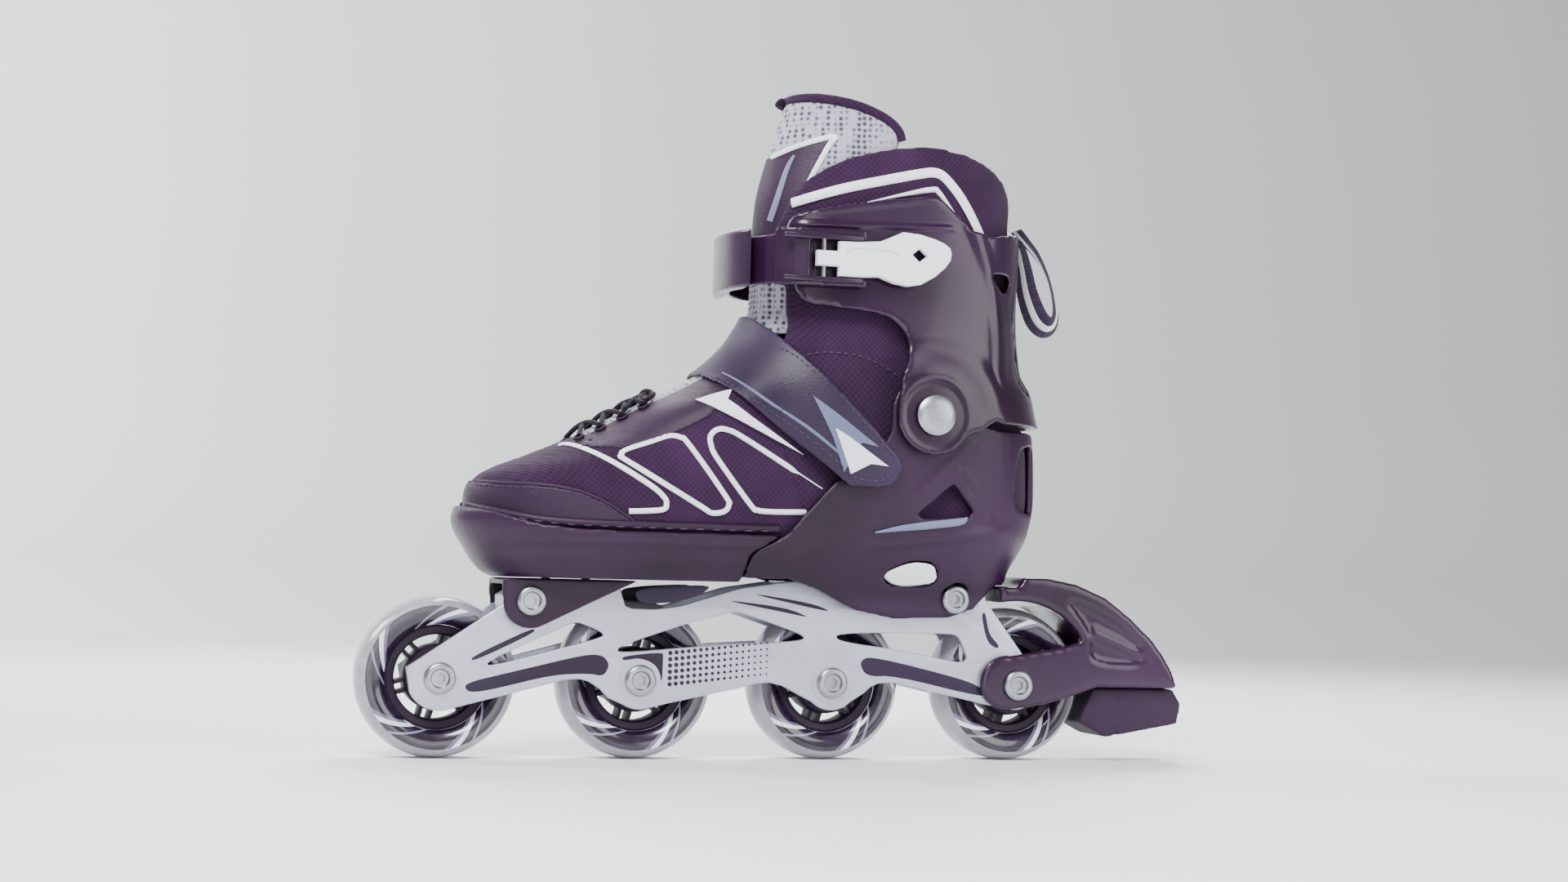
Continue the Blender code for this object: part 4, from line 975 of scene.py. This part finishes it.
def make_cuff():
    top = [
        (12.9, 235.6), (14.6, 240.2), (17.2, 242.4), (36.7, 246.9), (55.2, 250.4), (74, 253.0), (81.2, 253.2),
        (85.5, 251.6), (89.5, 248.2), (98.3, 240)
    ]
    back = [(110, 238), (128, 241.4), (150, 241.4), (150, 152.4), (116, 152.4), (110.5, 153.5), (104, 149.5)]
    lobe = arc(CUFF_PIVOT, 17.6, 330, 180, 24)
    front = [
        (63.6, 162), (65.4, 171.9), (67.6, 178), (68.5, 185.5), (67.6, 190), (64.9, 194), (59.5, 198),
        (51.8, 199.9), (24.2, 202), (20.5, 203.6), (18.1, 207.1), (15, 215)
    ]
    cuff = wall("ankle_cuff", CUFF, (134, 256), top + back + lobe + front, 0, 3.0, "glossy_plastic", 3)
    slot = rounded([(107, 221), (122, 221), (118, 211)], 1)
    waist = rounded([(124.5, 178), (127.5, 196), (137, 206), (150, 206), (150, 170), (134, 166), (127, 170)])
    for side, _ in SIDES:
        boolean(cuff, side_plate("slot", [slot], *span_of(side, 14, PAST_SIDES)))
        boolean(cuff, side_plate("waist", [waist], *span_of(side, 20, PAST_SIDES)))
    moulded(cuff, 1.1, 4)

    def detail(x, y, z):
        if abs(y) < 10:
            return (0, 0, 0)
        reach = math.hypot(x - CUFF_PIVOT[0], z - CUFF_PIVOT[1])
        ring = bump(reach, 17.2, 3.5) * (1 - smooth_step(88, 104, x)) * (1 - smooth_step(168, 180, z))
        groove = bump(z - 0.03 * (x - 40), 238.2, 1.5) * smooth_step(14, 22, x) * (1 - smooth_step(84, 94, x))
        roll = bump(z - 0.16 * (x - 40), 247.2, 4.5) * smooth_step(14, 22, x) * (1 - smooth_step(84, 94, x))
        spine = bump(x + 0.16 * (z - 200), 108 + 6 * math.cos((z - 200) / 22), 6) * smooth_step(165, 180, z)
        dish = bump(reach, 30, 8) * smooth_step(150, 165, z)
        out = 0.7 * ring - 1.3 * groove + 1.0 * roll + 0.9 * spine - 0.7 * dish
        return (0, math.copysign(out, y), 0)

    finished(moved(cuff, detail), "cuff", "shell_plastic", "cuff")
    profile = [(0, 35.6), (6.5, 35.6), (6.5, 36.7), (4, 36.7), (4, 45.8), (8.6, 45.8), (9, 46.2), (8.9, 46.9),
               (7.6, 47.9), (5, 48.5), (0, 48.6)]
    for side, end in SIDES:
        rivet = turned(f"pivot_rivet_{end}", on_side(profile, side), "satin_steel", 64)
        rivet.location = at(CUFF_PIVOT[0], 0, CUFF_PIVOT[1])
        finished(rivet, "cuff", "steel", f"cuff_rivet_{end}")


def make_ladder_strap():
    low, high = 211.0, 233.0
    ends = [
        (-20, low), (-20, high), (60, high), (64, high - 2), (66, high - 6), (66, low + 6), (64, low + 2),
        (60, low)
    ]
    band = wall("ratchet_strap", BAND, (208, 236), ends, -2.4, -0.4, "glossy_plastic", 4, 60)
    boolean(band, box("end", (24, -60, 150), (100, 0, 300)))
    moulded(band, 0.8, 3)
    finished(band, "cuff", "shell_plastic", "ladder_strap")
    teeth = bmesh.new()
    for k in range(22):
        y = -16 + k * 2.6
        x = next(p for p in [-3.6 + i * 0.1 for i in range(400)] if BAND.width(p, 222, -2.4) >= abs(y))
        normal = BAND.normal(x + 0.3, 222, -1 if y < 0 else 1) if abs(y) > 3 else Vector((-1, 0, 0))
        centre = Vector((x, y, 222)) + normal * 0.15
        run = [centre + Vector((0, 0, dz)) for dz in (-6.5, 6.5)]
        swept(teeth, run, [normal] * 2, [1.3, 1.3], 1.5, segments=6)
    finished(
        new_object("ratchet_teeth", mesh_from_bmesh("teeth", teeth), "glossy_plastic"), "cuff",
        "shell_plastic"
    )


def make_buckle_base():
    keeper = wall(
        "strap_keeper", BAND, (204, 240), [(-12, 209.8), (-12, 235.4), (-1.8, 235.8), (-1.8, 209.6)], -8.5,
        -2.8, "glossy_plastic", 4, 60
    )
    finished(moulded(keeper, 0.8, 4), "cuff", "shell_plastic")
    outline = [(-1, 210), (-1, 234.6), (4, 235), (8, 235.4), (47, 235.6), (47, 210)]
    base = wall("buckle_body", BAND, (204, 242), outline, -6.0, -2.7, "glossy_plastic", 4, 60)
    boolean(base, box("half", (-20, -38, 150), (100, 60, 300)))
    boolean(base, box("slot", (21.5, -60, 213.2), (60, -40, 230.8)))
    finished(moulded(base, 0.7, 3), "cuff", "shell_plastic", "buckle_base")
    for tag, z0 in (("low", 212.6), ("high", 231.4)):
        rail = side_plate(
            f"buckle_rail_{tag}", [[(9, z0 - 1.1), (9, z0 + 1.1), (45, z0 + 1.1), (45, z0 - 1.1)]], -47.2,
            -45.4, "glossy_plastic", 0.5
        )
        finished(sharpened(rail), "cuff", "shell_plastic")


def make_lever():
    pin = turned(
        "hinge_pin", [(0, -10.4), (0.8, -10.4), (1.1, -10.0), (1.1, 10.0), (0.8, 10.4), (0, 10.4)], "steel",
        24
    )
    pin.rotation_euler = (math.pi / 2, 0, 0)
    pin.location = at(*LEVER_PIN, 222)
    finished(pin, "cuff", "steel", "buckle_pin")

    grip = [
        (23.5, 218.5), (33.5, 218.5), (33.5, 214.2), (43, 214.2), (52.5, 214.8), (59, 212.4), (65.8, 211.4),
        (72, 212.6), (78.5, 216.5), (83, 220.6), (85.4, 224), (85.8, 227), (85, 229.5), (82, 231.6),
        (78.3, 233), (71, 234.8), (62.9, 235.4), (57, 232.6), (52.4, 230.6), (43, 229.8), (33.5, 229.6),
        (33.5, 225.2), (23.5, 225.2)
    ]
    eye = [(67.4, 225.6), (71, 228.6), (74.6, 225.4), (70.8, 222.4)]
    lever = side_plate("buckle_handle", [grip, eye], -48.4, -43.8, "white_plastic", 0.9)
    boolean(
        lever,
        side_plate("dish", [rounded([(36, 217), (36, 227.4), (56, 227), (63, 225), (58, 217.6)])], -52, -47.7)
    )
    finished(sharpened(baked(lever), 30), "lever", "white_plastic", "buckle_lever")
    rivet = turned(
        "band_rivet", [(0, 36.5), (2, 36.5), (2, 43.2), (4, 43.2), (3.6, 44.4), (2, 44.9), (0, 45)], "steel",
        48
    )
    rivet.location = at(56, 0, 222)
    finished(rivet, "cuff", "steel", "strap_rivet")


# ---------------------------------------------------------------- textile boot
LINES = {
    "line_front": (
        [
            (-81.6, 137.3), (-75.2, 136.1), (-49, 121.3), (-41, 115.4), (-39.4, 112), (-41.6, 109.4),
            (-55.8, 108.4)
        ],
        False
    ),
    "line_middle": (
        [
            (-57.3, 134.9), (-46, 139), (-38, 141.8), (-33, 141), (-30.2, 138.6), (-13.0, 116.4),
            (-11.3, 112.6), (-13.4, 109.6), (-19, 108.8), (-23.5, 111.2), (-56.4, 129.8), (-59.2, 132.4)
        ],
        True
    ),
    "line_rear": (
        [
            (24.5, 110.5), (10, 110.2), (2.2, 110.6), (-1.6, 113.2), (-17.0, 132.4), (-20.0, 138.2),
            (-20.2, 142.4), (-17.1, 145.2), (-12.6, 145.2), (-4, 141.4), (31.7, 121.1)
        ],
        False
    )
}


EYELET_XS = [-74, -64.5, -55, -45.5]
EYELET_Y = 15.5


def lace_route(y_sign, x_low, x_high, lift):
    """A lace that crosses the instep from one eyelet to the next one on the other side."""
    points = []
    for k in range(7):
        t = k / 6
        x, y = x_low + (x_high - x_low) * t, y_sign * EYELET_Y * (1 - 2 * t)
        points.append((x, y, top_of(x, y) + lift + 1.4 * math.sin(math.pi * t)))
    return points


def top_of(x, y):
    """Height of the boot's surface on the instep."""
    low, high = 100.0, 204.0
    for _ in range(26):
        z = (low + high) / 2
        low, high = (z, high) if boot_width(x, z, 0) > abs(y) else (low, z)
    return low


def make_vamp():
    profile = [(-125, 95), (-125, 150), (-82, 150), (-8, 175.6), (5, 183.3), (46.4, 184.9), (46.4, 97)]
    vamp = wall("vamp", BOOT, (88, 204), profile, 0, 4.0, "boot_fabric", 4, 48)
    boolean(vamp, box("throat", (-72.3, -12.6, 121), (60, 12.6, 230)))
    moulded(vamp, 1.5, 3)
    stretched(vamp, "boot_fabric", "boot_quarter", "boot_toe_box")



def make_toe_cap():
    cap = [
        (-125, 96), (-125, 120.4), (-117.6, 120.2), (-109, 119.4), (-96, 119), (-86.6, 118.2), (-77, 116.4),
        (-70.8, 114.2), (-64, 111), (-58.3, 107.4), (-50, 102), (-44, 97)
    ]
    toe_cap = wall("toe_cap", BOOT, (92, 124), cap, -0.9, 1.0, "synthetic", 2.5, 60)
    stretched(moulded(toe_cap, 0.9, 2), "boot_fabric")
    seam = cap[2:11]
    stretched(stitches("toe_cap_stitches", BOOT, [(x, z - 1.6) for x, z in seam], 0.9), "boot_fabric")
    stretched(piping("toe_cap_edge", BOOT, seam, 1.6, "synthetic", 0.4, 1.6), "boot_fabric")



def make_eyestay():
    stay = [
        (-76.5, 143), (-76.5, 137.2), (-70, 135.6), (-58.6, 135.8), (-44.4, 139.2), (-30, 145.2),
        (-19.5, 151.4), (-8.8, 163), (2, 178), (-8, 190), (-40, 175)
    ]
    eyestay = wall("eyestay", BOOT, (130, 188), stay, -1.0, 1.0, "synthetic", 3, 60)
    boolean(eyestay, box("throat", (-90, -13.2, 121), (60, 13.2, 230)))
    stretched(moulded(eyestay, 0.9, 2), "boot_fabric")
    edge = [(-74, 136.2), (-58.6, 137.0), (-44.4, 140.6), (-30, 146.8), (-19.5, 153.2), (-10, 164)]
    stretched(stitches("eyestay_stitches", BOOT, edge, 1.05), "boot_fabric")



def make_vamp_lines():
    for name, (path, closed) in LINES.items():
        stretched(piping(name, BOOT, path, 2.4, "white_print", 0.3, 1.5, closed), "white_plastic")
    blade = [
        (-25.4, 158.5), (-18, 161.2), (-9.5, 163.8), (-12.2, 159), (-2, 151.5), (22.5, 135.6), (8, 142.4),
        (-14, 152.8)
    ]
    blade_piece = wall("vamp_blade", BOOT, (130, 170), blade, -1.9, 0.6, "white_print", 4, 60)
    stretched(sharpened(baked(blade_piece)), "white_plastic")
    welt = [(-116, 107.4), (-104, 104.6), (-90, 102.6), (-70, 101.8), (-40, 101.6), (0, 101.6), (12, 101.8)]
    stretched(stitches("welt_stitches", SHELL, welt, -2.2, 6.5, 3.4, 0.8), "boot_fabric")
    stretched(
        piping("welt", BOOT, [(-120.2, 109.6)] + [(x, z + 0.8) for x, z in welt], 4.4, "synthetic", 0.8, 3.6),
        "boot_fabric"
    )


def make_tongue():
    low = side_plate(
        "tongue",
        [[(-71, 120), (-71, 160), (-15, 196), (20, 226), (26, 226), (26, 196), (-20, 146), (-40, 120)]],
        -12.4, 12.4, "grey_mesh_cloth"
    )
    zs = levels(122, 230, 4)
    boolean(low, loft("outer", [BOOT.loop(z, -0.2) for z in zs]), "INTERSECT")
    boolean(low, loft("inner", [BOOT.loop(z, 5.0, z - 2) for z in zs] + [BOOT.loop(230, 5.0, 240)]))
    front = [
        (-12, 190), (2, 221), (6, 250), (13.5, 275), (18.3, 297.3), (22, 299), (34.3, 298.6), (48.5, 295.5)
    ]
    back = [(60.9, 290.7), (66, 287), (69, 281.4), (60, 262), (44, 240), (34, 206), (22, 190)]
    high = wall("tongue_high", TONGUE, (186, 302), front + back, 0, 4.4, None, 4, 48)
    boolean(low, baked(high), "UNION")
    moulded(low, 1.5, 5)
    flexed(low, "grey_mesh_cloth", "tongue_upper", "tongue_lower", start=at(0, 0, 182), end=at(0, 0, 216))



def make_tongue_trim():
    rim = [
        (17.6, 296.2), (19.5, 298.4), (26, 298.9), (34.3, 298), (48.5, 294.6), (60.5, 289.6), (66.5, 284.6),
        (68.2, 280)
    ]
    flexed(piping("tongue_binding", TONGUE, rim, 5.0, "boot_fabric", -1.4, 5.2), "boot_fabric")
    panel = [(-5, 236), (-5, 270), (8, 271), (23, 276), (36, 279.5), (26.5, 259), (21.5, 246), (16, 234)]
    plate = wall("tongue_panel", TONGUE, (228, 284), panel, -0.7, 1.2, "synthetic", 4, 60)
    flexed(moulded(plate, 0.9, 2), "boot_fabric")
    border = [
        (13.2, 272.2), (23.3, 276.7), (37.4, 280.4), (34.6, 275.6), (26.1, 258.1), (21.7, 246.4), (16.1, 235)
    ]
    flexed(piping("tongue_piping", TONGUE, border, 2.6, "white_print", 0.9, 1.6), "white_plastic")
    # Painted highlight: a lighter slate band, narrowing upwards, along the curve of the tongue panel inside
    # its piping.
    shade = [(11.4, 242), (17.5, 264), (21, 272)]
    flexed(
        piping("tongue_painted_highlight", TONGUE, shade, [3.4, 2.6, 1.4], "slate_print", 0.7, 0.9), "strap_synthetic"
    )


def make_collar():
    bottom = [(141, 153.5), (125, 160), (95, 165), (60, 165), (24, 168), (6, 184)]
    top = [
        (9, 236), (15, 243), (18, 250), (21, 255.6), (26, 261), (32, 264.8), (38.3, 268.2), (46, 271.2),
        (53.5, 273.3), (66, 276), (78.2, 277.4), (88, 277), (98, 275.4), (106, 273), (113, 270), (119, 266),
        (123, 261), (127.6, 253), (131, 246)
    ]
    collar = wall("collar", BOOT, (150, 302), bottom + top, 0, 5.0, "boot_fabric", 4, 48)
    boolean(collar, box("opening", (-20, -16, 150), (34, 16, 320)))
    boolean(collar, box("opening_low", (-20, -26, 150), (17, 26, 213)))
    moulded(collar, 1.6, 8)

    def plump(x, y, z):
        out = 1.1 * bump(z, 262, 16) * smooth_step(20, 40, x) + 0.6 * bump(z - 0.2 * x, 182, 8)
        return (out * smooth_step(112, 128, x), math.copysign(out, y) * (1 - smooth_step(112, 130, x)), 0)

    moved(collar, plump)
    flexed(collar, "boot_fabric", "boot_collar")


def make_collar_trim():
    stripe = [
        (17.9, 248.8), (38.6, 255.2), (59.5, 260.6), (76, 264.6), (81.5, 265.4), (86.2, 264), (92.8, 257.8),
        (99, 249.6), (106, 238.4)
    ]
    flexed(piping("collar_stripe", BOOT, stripe, 4.4, "white_print", 1.2, 1.6), "white_plastic")
    thin = [(50, 249.6), (68, 254.6), (80.5, 257.6), (84.2, 256.6), (92.5, 246.8)]
    flexed(
        piping("collar_thin_stripe", BOOT, thin, [0.6, 1.8, 2.6, 2.4, 1.0], "white_print", 1.0, 1.4),
        "white_plastic"
    )
    seam = [(20, 243), (40, 248), (60, 251), (78, 252)]
    flexed(stitches("collar_stitches", BOOT, seam, 0.9), "boot_fabric")



def make_ankle_panel():
    panel = [
        (8, 150), (14, 178.4), (20.8, 182), (31.8, 184.2), (46.7, 183.4), (56, 180.8), (64, 176.6), (76, 170),
        (118, 160), (141, 149), (141, 93), (30, 93)
    ]
    ankle = wall("ankle_panel", BOOT, (90, 196), panel, -1.0, 4.0, "panel_fabric", 4, 48)
    boolean(ankle, box("inside", (-20, -30, 60), (40, 30, 240)))
    moulded(ankle, 1.5, 5)

    def pad(x, y, z):
        out = 1.4 * bump(math.hypot((x - 44) / 1.3, z - 162), 0, 22)
        return (0, math.copysign(out, y), 0) if abs(y) > 12 else (0, 0, 0)

    finished(moved(ankle, pad), "chassis", "boot_fabric", "boot_ankle")
    rim = [(16, 176.6), (21.4, 179.4), (31.8, 181.6), (46.7, 180.8), (58, 177.2), (66, 172.4)]
    finished(stitches("ankle_stitches", BOOT, rim, 1.4), "chassis", "boot_fabric")


def make_laces():
    routes = []
    for x, following in zip(EYELET_XS, EYELET_XS[1:]):
        routes.append(lace_route(-1, x, following, 1.6))
        routes.append(lace_route(1, x, following, 2.3))
    knot = (-40.5, 0, top_of(-40.5, 0) + 2.6)
    for side in (-1, 1):
        end = (EYELET_XS[-1], side * EYELET_Y, top_of(EYELET_XS[-1], side * EYELET_Y) + 2.2)
        routes.append([end, ((end[0] + knot[0]) / 2, side * 7, knot[2] - 2.2), knot])
        loop = [(-1, 1, 0.2), (-4, 6, 0.6), (-6, 11, 0), (-3, 13.5, 0), (1, 9, 0), (1, 2, 0)]
        routes.append([(knot[0] + dx, side * dy, top_of(knot[0] + dx, dy) + 2.6 + dz)
                       for dx, dy, dz in loop])
        tail = [(0, 1), (-4, 5), (-9, 9), (-13, 14)]
        routes.append([(knot[0] + dx, side * dy, top_of(knot[0] + dx, dy) + 3.4) for dx, dy in tail])
    laces = cord_piece("lace", routes, 1.15, "lace_cord")
    bm = bmesh.new()
    bm.from_mesh(laces.data)
    knot_turn = Matrix.Translation(at(*knot)) @ Matrix.Diagonal((3.6 * MM, 3.4 * MM, 2.8 * MM, 1))
    bmesh.ops.create_icosphere(bm, subdivisions=3, radius=1.0, matrix=knot_turn)
    bm.to_mesh(laces.data)
    bm.free()
    laces.data.shade_smooth()
    finished(laces, "chassis", "lace_cord", "laces")


def make_eyelets():
    rings = bmesh.new()
    turns = [2 * math.pi * k / 16 for k in range(16)]
    for x in EYELET_XS:
        for side, _ in SIDES:
            top = top_of(x, EYELET_Y)
            normal = BOOT.normal(x, top, side)
            along = normal.cross(Vector((0, 1, 0))).normalized()
            other = normal.cross(along).normalized()
            centre = Vector((x, side * EYELET_Y, top + 1.3))
            ring = [centre + (along * math.cos(a) + other * math.sin(a)) * 2.3 for a in turns]
            swept(rings, ring, [normal] * 16, [1.1] * 16, 1.1, True, 6)
    stretched(new_object("eyelets", mesh_from_bmesh("eyelets", rings), "hub_plastic"), "lace_cord")


def make_instep_strap():
    profile = [
        (66.2, 130.6), (65.2, 128.4), (62.6, 124.6), (60, 122.9), (56, 122.2), (41.4, 122.4), (-27, 176),
        (-27, 190), (-10, 202), (2, 200), (19.7, 181.4), (64, 137), (66, 133.6)
    ]
    strap = wall("power_strap", STRAP, (112, 204), profile, -3.6, -1.3, "strap_synthetic", 3, 60, reach=4)
    moulded(strap, 0.9, 3)
    finished(strap, "chassis", "strap_synthetic", "instep_strap")
    low = [(-14, 168.8), (0, 157.8), (20, 145), (42, 127.2), (47, 125.4), (56, 125.4), (60.4, 128.4)]
    high = [(5, 187.6), (12, 183), (19.2, 178.2), (40, 158), (60, 138.2), (62.4, 133.6)]
    for tag, path in (("low", low), ("high", high)):
        row = stitches(f"strap_stitches_{tag}", STRAP, path, 3.7, 3.0, 1.9)
        finished(row, "chassis", "strap_synthetic")
    finished(
        piping(
            "strap_shine", STRAP, [(x + 2.2, z + 2.6) for x, z in low[:4]], [0.8, 1.6, 1.6, 0.8],
            "slate_print", 3.5, 0.7
        ),
        "chassis", "strap_synthetic"
    )
    chevrons = (
        ("slate", [(24.5, 161.5), (54.5, 140.0), (46.5, 141.6), (38.4, 128.3), (33, 144)], -4.0),
        ("white", [(34.2, 147.4), (40.5, 144.0), (59.2, 131.6), (51, 132.4), (41.6, 127.6)], -4.2),
    )
    for tag, outline, outer in chevrons:
        mark = wall(
            f"strap_chevron_{tag}", STRAP, (122, 166), outline, outer, -2.8, f"{tag}_print", 4, 60, reach=4
        )
        finished(sharpened(baked(mark)), "chassis", "strap_synthetic")


def make_pull_loop():
    path = [
        (134.4, 246.6), (138.6, 242.4), (145.4, 235), (151.6, 223.8), (155.0, 210.3), (154, 203.6),
        (150.4, 201.8), (145.4, 206), (140.8, 217), (138.4, 229), (136.2, 238), (134.2, 241.4)
    ]
    centres = spline_points([(x, 0, z) for x, z in path])
    normals = []
    for i, (a, b) in enumerate(zip(centres, centres[1:] + centres[-1:])):
        along = (b - a).normalized() if (b - a).length > 1e-6 else Vector((0, 0, -1))
        twist = math.radians(38) * math.sin(math.pi * i / len(centres)) ** 2
        normals.append(Matrix.Rotation(twist, 3, along) @ Vector((0, 1, 0)).cross(along).normalized())
    for name, width, height, material, nodes in (
        ("pull_tab", 14.0, 1.5, "webbing", ["pull_loop"]), ("pull_tab_stripe", 6.0, 1.9, "white_print", [])
    ):
        bm = bmesh.new()
        swept(bm, centres, normals, [width] * len(centres), height, segments=12)
        finished(sharpened(new_object(name, mesh_from_bmesh(name, bm), material)), "cuff", "webbing", *nodes)


# ---------------------------------------------------------------- scene
KEPT_NODES = {
    "frame_bridge_front": "frame_aluminium",
    "frame_bridge_rear": "frame_aluminium",
    "insole": "lining",
    "sole_plate": "shell_plastic",
    "button_leaf_spring": "steel",
    "sole_stud_front": "steel",
    "sole_stud_rear": "steel",
    "wheel_1_spacer": "steel",
    "wheel_2_spacer": "steel",
    "wheel_3_spacer": "steel",
    "wheel_4_spacer": "steel"
}
# Metres from here on. The floor's rows are (y, z): flat, then rising behind the skate.
FLOOR_ROWS = [(-7, 0), (1.5, 0), (1.9, 0.08), (2.15, 0.35), (2.25, 4)]
FLOOR_HALF_WIDTH = 7
SKATE_MIDDLE, WALL_MIDDLE = Vector((0, 0, 0.14)), Vector((0.2, 2.2, 0.5))
LAMPS = [
    ("key", (-0.5, -0.8, 1.05), SKATE_MIDDLE, 26, 0.5), ("fill", (0.75, -0.8, 0.45), SKATE_MIDDLE, 7, 0.7),
    ("back", (0.25, 0.7, 0.9), SKATE_MIDDLE, 18, 0.6), ("low", (-0.1, -1.0, 0.12), SKATE_MIDDLE, 2.5, 0.5),
    ("wall", (-1.5, 0.9, 1.3), WALL_MIDDLE, 60, 0.8),
]
CAMERA_ANGLES = (-15.68, -3.16, 1.41)
CAMERA_AIM, CAMERA_DISTANCE = Vector((-0.0007, 0, 0.14353)), 1.0838
LENS_MM, SENSOR_MM = 54.68, 36.0


def dress_kept_nodes():
    """Better materials for the CAD nodes that are kept as they are."""
    for node, look in KEPT_NODES.items():
        for material_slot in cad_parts[node].material_slots:
            material_slot.material = MATERIALS[look]


def make_floor():
    look = Nodes("floor_look")
    look.set(
        Base_Color=look.mix(look.noise(2, 2), linear(240, 242, 243), linear(246, 248, 249)), Roughness=0.62
    )
    mesh = bpy.data.meshes.new("floor")
    points = [(x, y, z) for y, z in FLOOR_ROWS for x in (-FLOOR_HALF_WIDTH, FLOOR_HALF_WIDTH)]
    strips = [(2 * i, 2 * i + 1, 2 * i + 3, 2 * i + 2) for i in range(len(FLOOR_ROWS) - 1)]
    mesh.from_pydata(points, [], strips)
    mesh.materials.append(look.material)
    mesh.shade_smooth()
    new_object("floor", mesh)


def make_lights():
    world = bpy.data.worlds.new("studio")
    world.use_nodes = True
    background = world.node_tree.nodes["Background"].inputs
    background["Color"].default_value = (0.96, 0.96, 0.98, 1.0)
    background["Strength"].default_value = 0.36
    bpy.context.scene.world = world
    for name, place, aim, power, size in LAMPS:
        light = bpy.data.lights.new(name, "AREA")
        light.energy, light.size = power, size
        lamp = bpy.data.objects.new(name, light)
        lamp.location = place
        lamp.rotation_euler = (aim - Vector(place)).to_track_quat("-Z", "Y").to_euler()
        bpy.context.scene.collection.objects.link(lamp)


def make_camera():
    azimuth, elevation, roll = (math.radians(angle) for angle in CAMERA_ANGLES)
    flat = math.cos(elevation)
    back = Vector((math.sin(azimuth) * flat, -math.cos(azimuth) * flat, math.sin(elevation)))
    level = Vector((math.cos(azimuth), math.sin(azimuth), 0))
    upright = back.cross(level)
    right = level * math.cos(roll) + upright * math.sin(roll)
    up = upright * math.cos(roll) - level * math.sin(roll)
    data = bpy.data.cameras.new("camera")
    data.lens, data.sensor_width = LENS_MM, SENSOR_MM
    camera = bpy.data.objects.new("camera", data)
    turn = Matrix((right, up, back)).transposed().to_4x4()
    camera.matrix_world = Matrix.Translation(CAMERA_AIM + back * CAMERA_DISTANCE) @ turn
    bpy.context.scene.collection.objects.link(camera)
    bpy.context.scene.camera = camera


def main():
    make_camera()
    make_floor()
    make_lights()
    for number, x in enumerate(AXLE_XS, 1):
        make_wheel(number, x)
        head_y = 17.9 if number < 4 else 21.1
        socket_head(
            f"axle_bolt_{number}", x, AXLE_Z, head_y, 6.9, 2.2, "chassis", f"axle_{number}", reach=5.0
        )
    socket_head("front_bolt", *FRONT_BOLT, 21.1, 6.5, 2.3, "chassis", "front_mount_bolt")
    socket_head("rear_bolt", *REAR_BOLT, 21.9, 6.5, 2.3, "chassis", "rear_mount_bolt")
    for make in (
        make_frame, make_brake, make_toe_shell, make_heel_shell, make_mount, make_cuff, make_ladder_strap,
        make_buckle_base, make_lever, make_vamp, make_toe_cap, make_eyestay, make_vamp_lines, make_tongue,
        make_tongue_trim, make_collar, make_collar_trim, make_ankle_panel, make_laces, make_eyelets,
        make_instep_strap, make_pull_loop, dress_kept_nodes,
    ):
        make()


main()
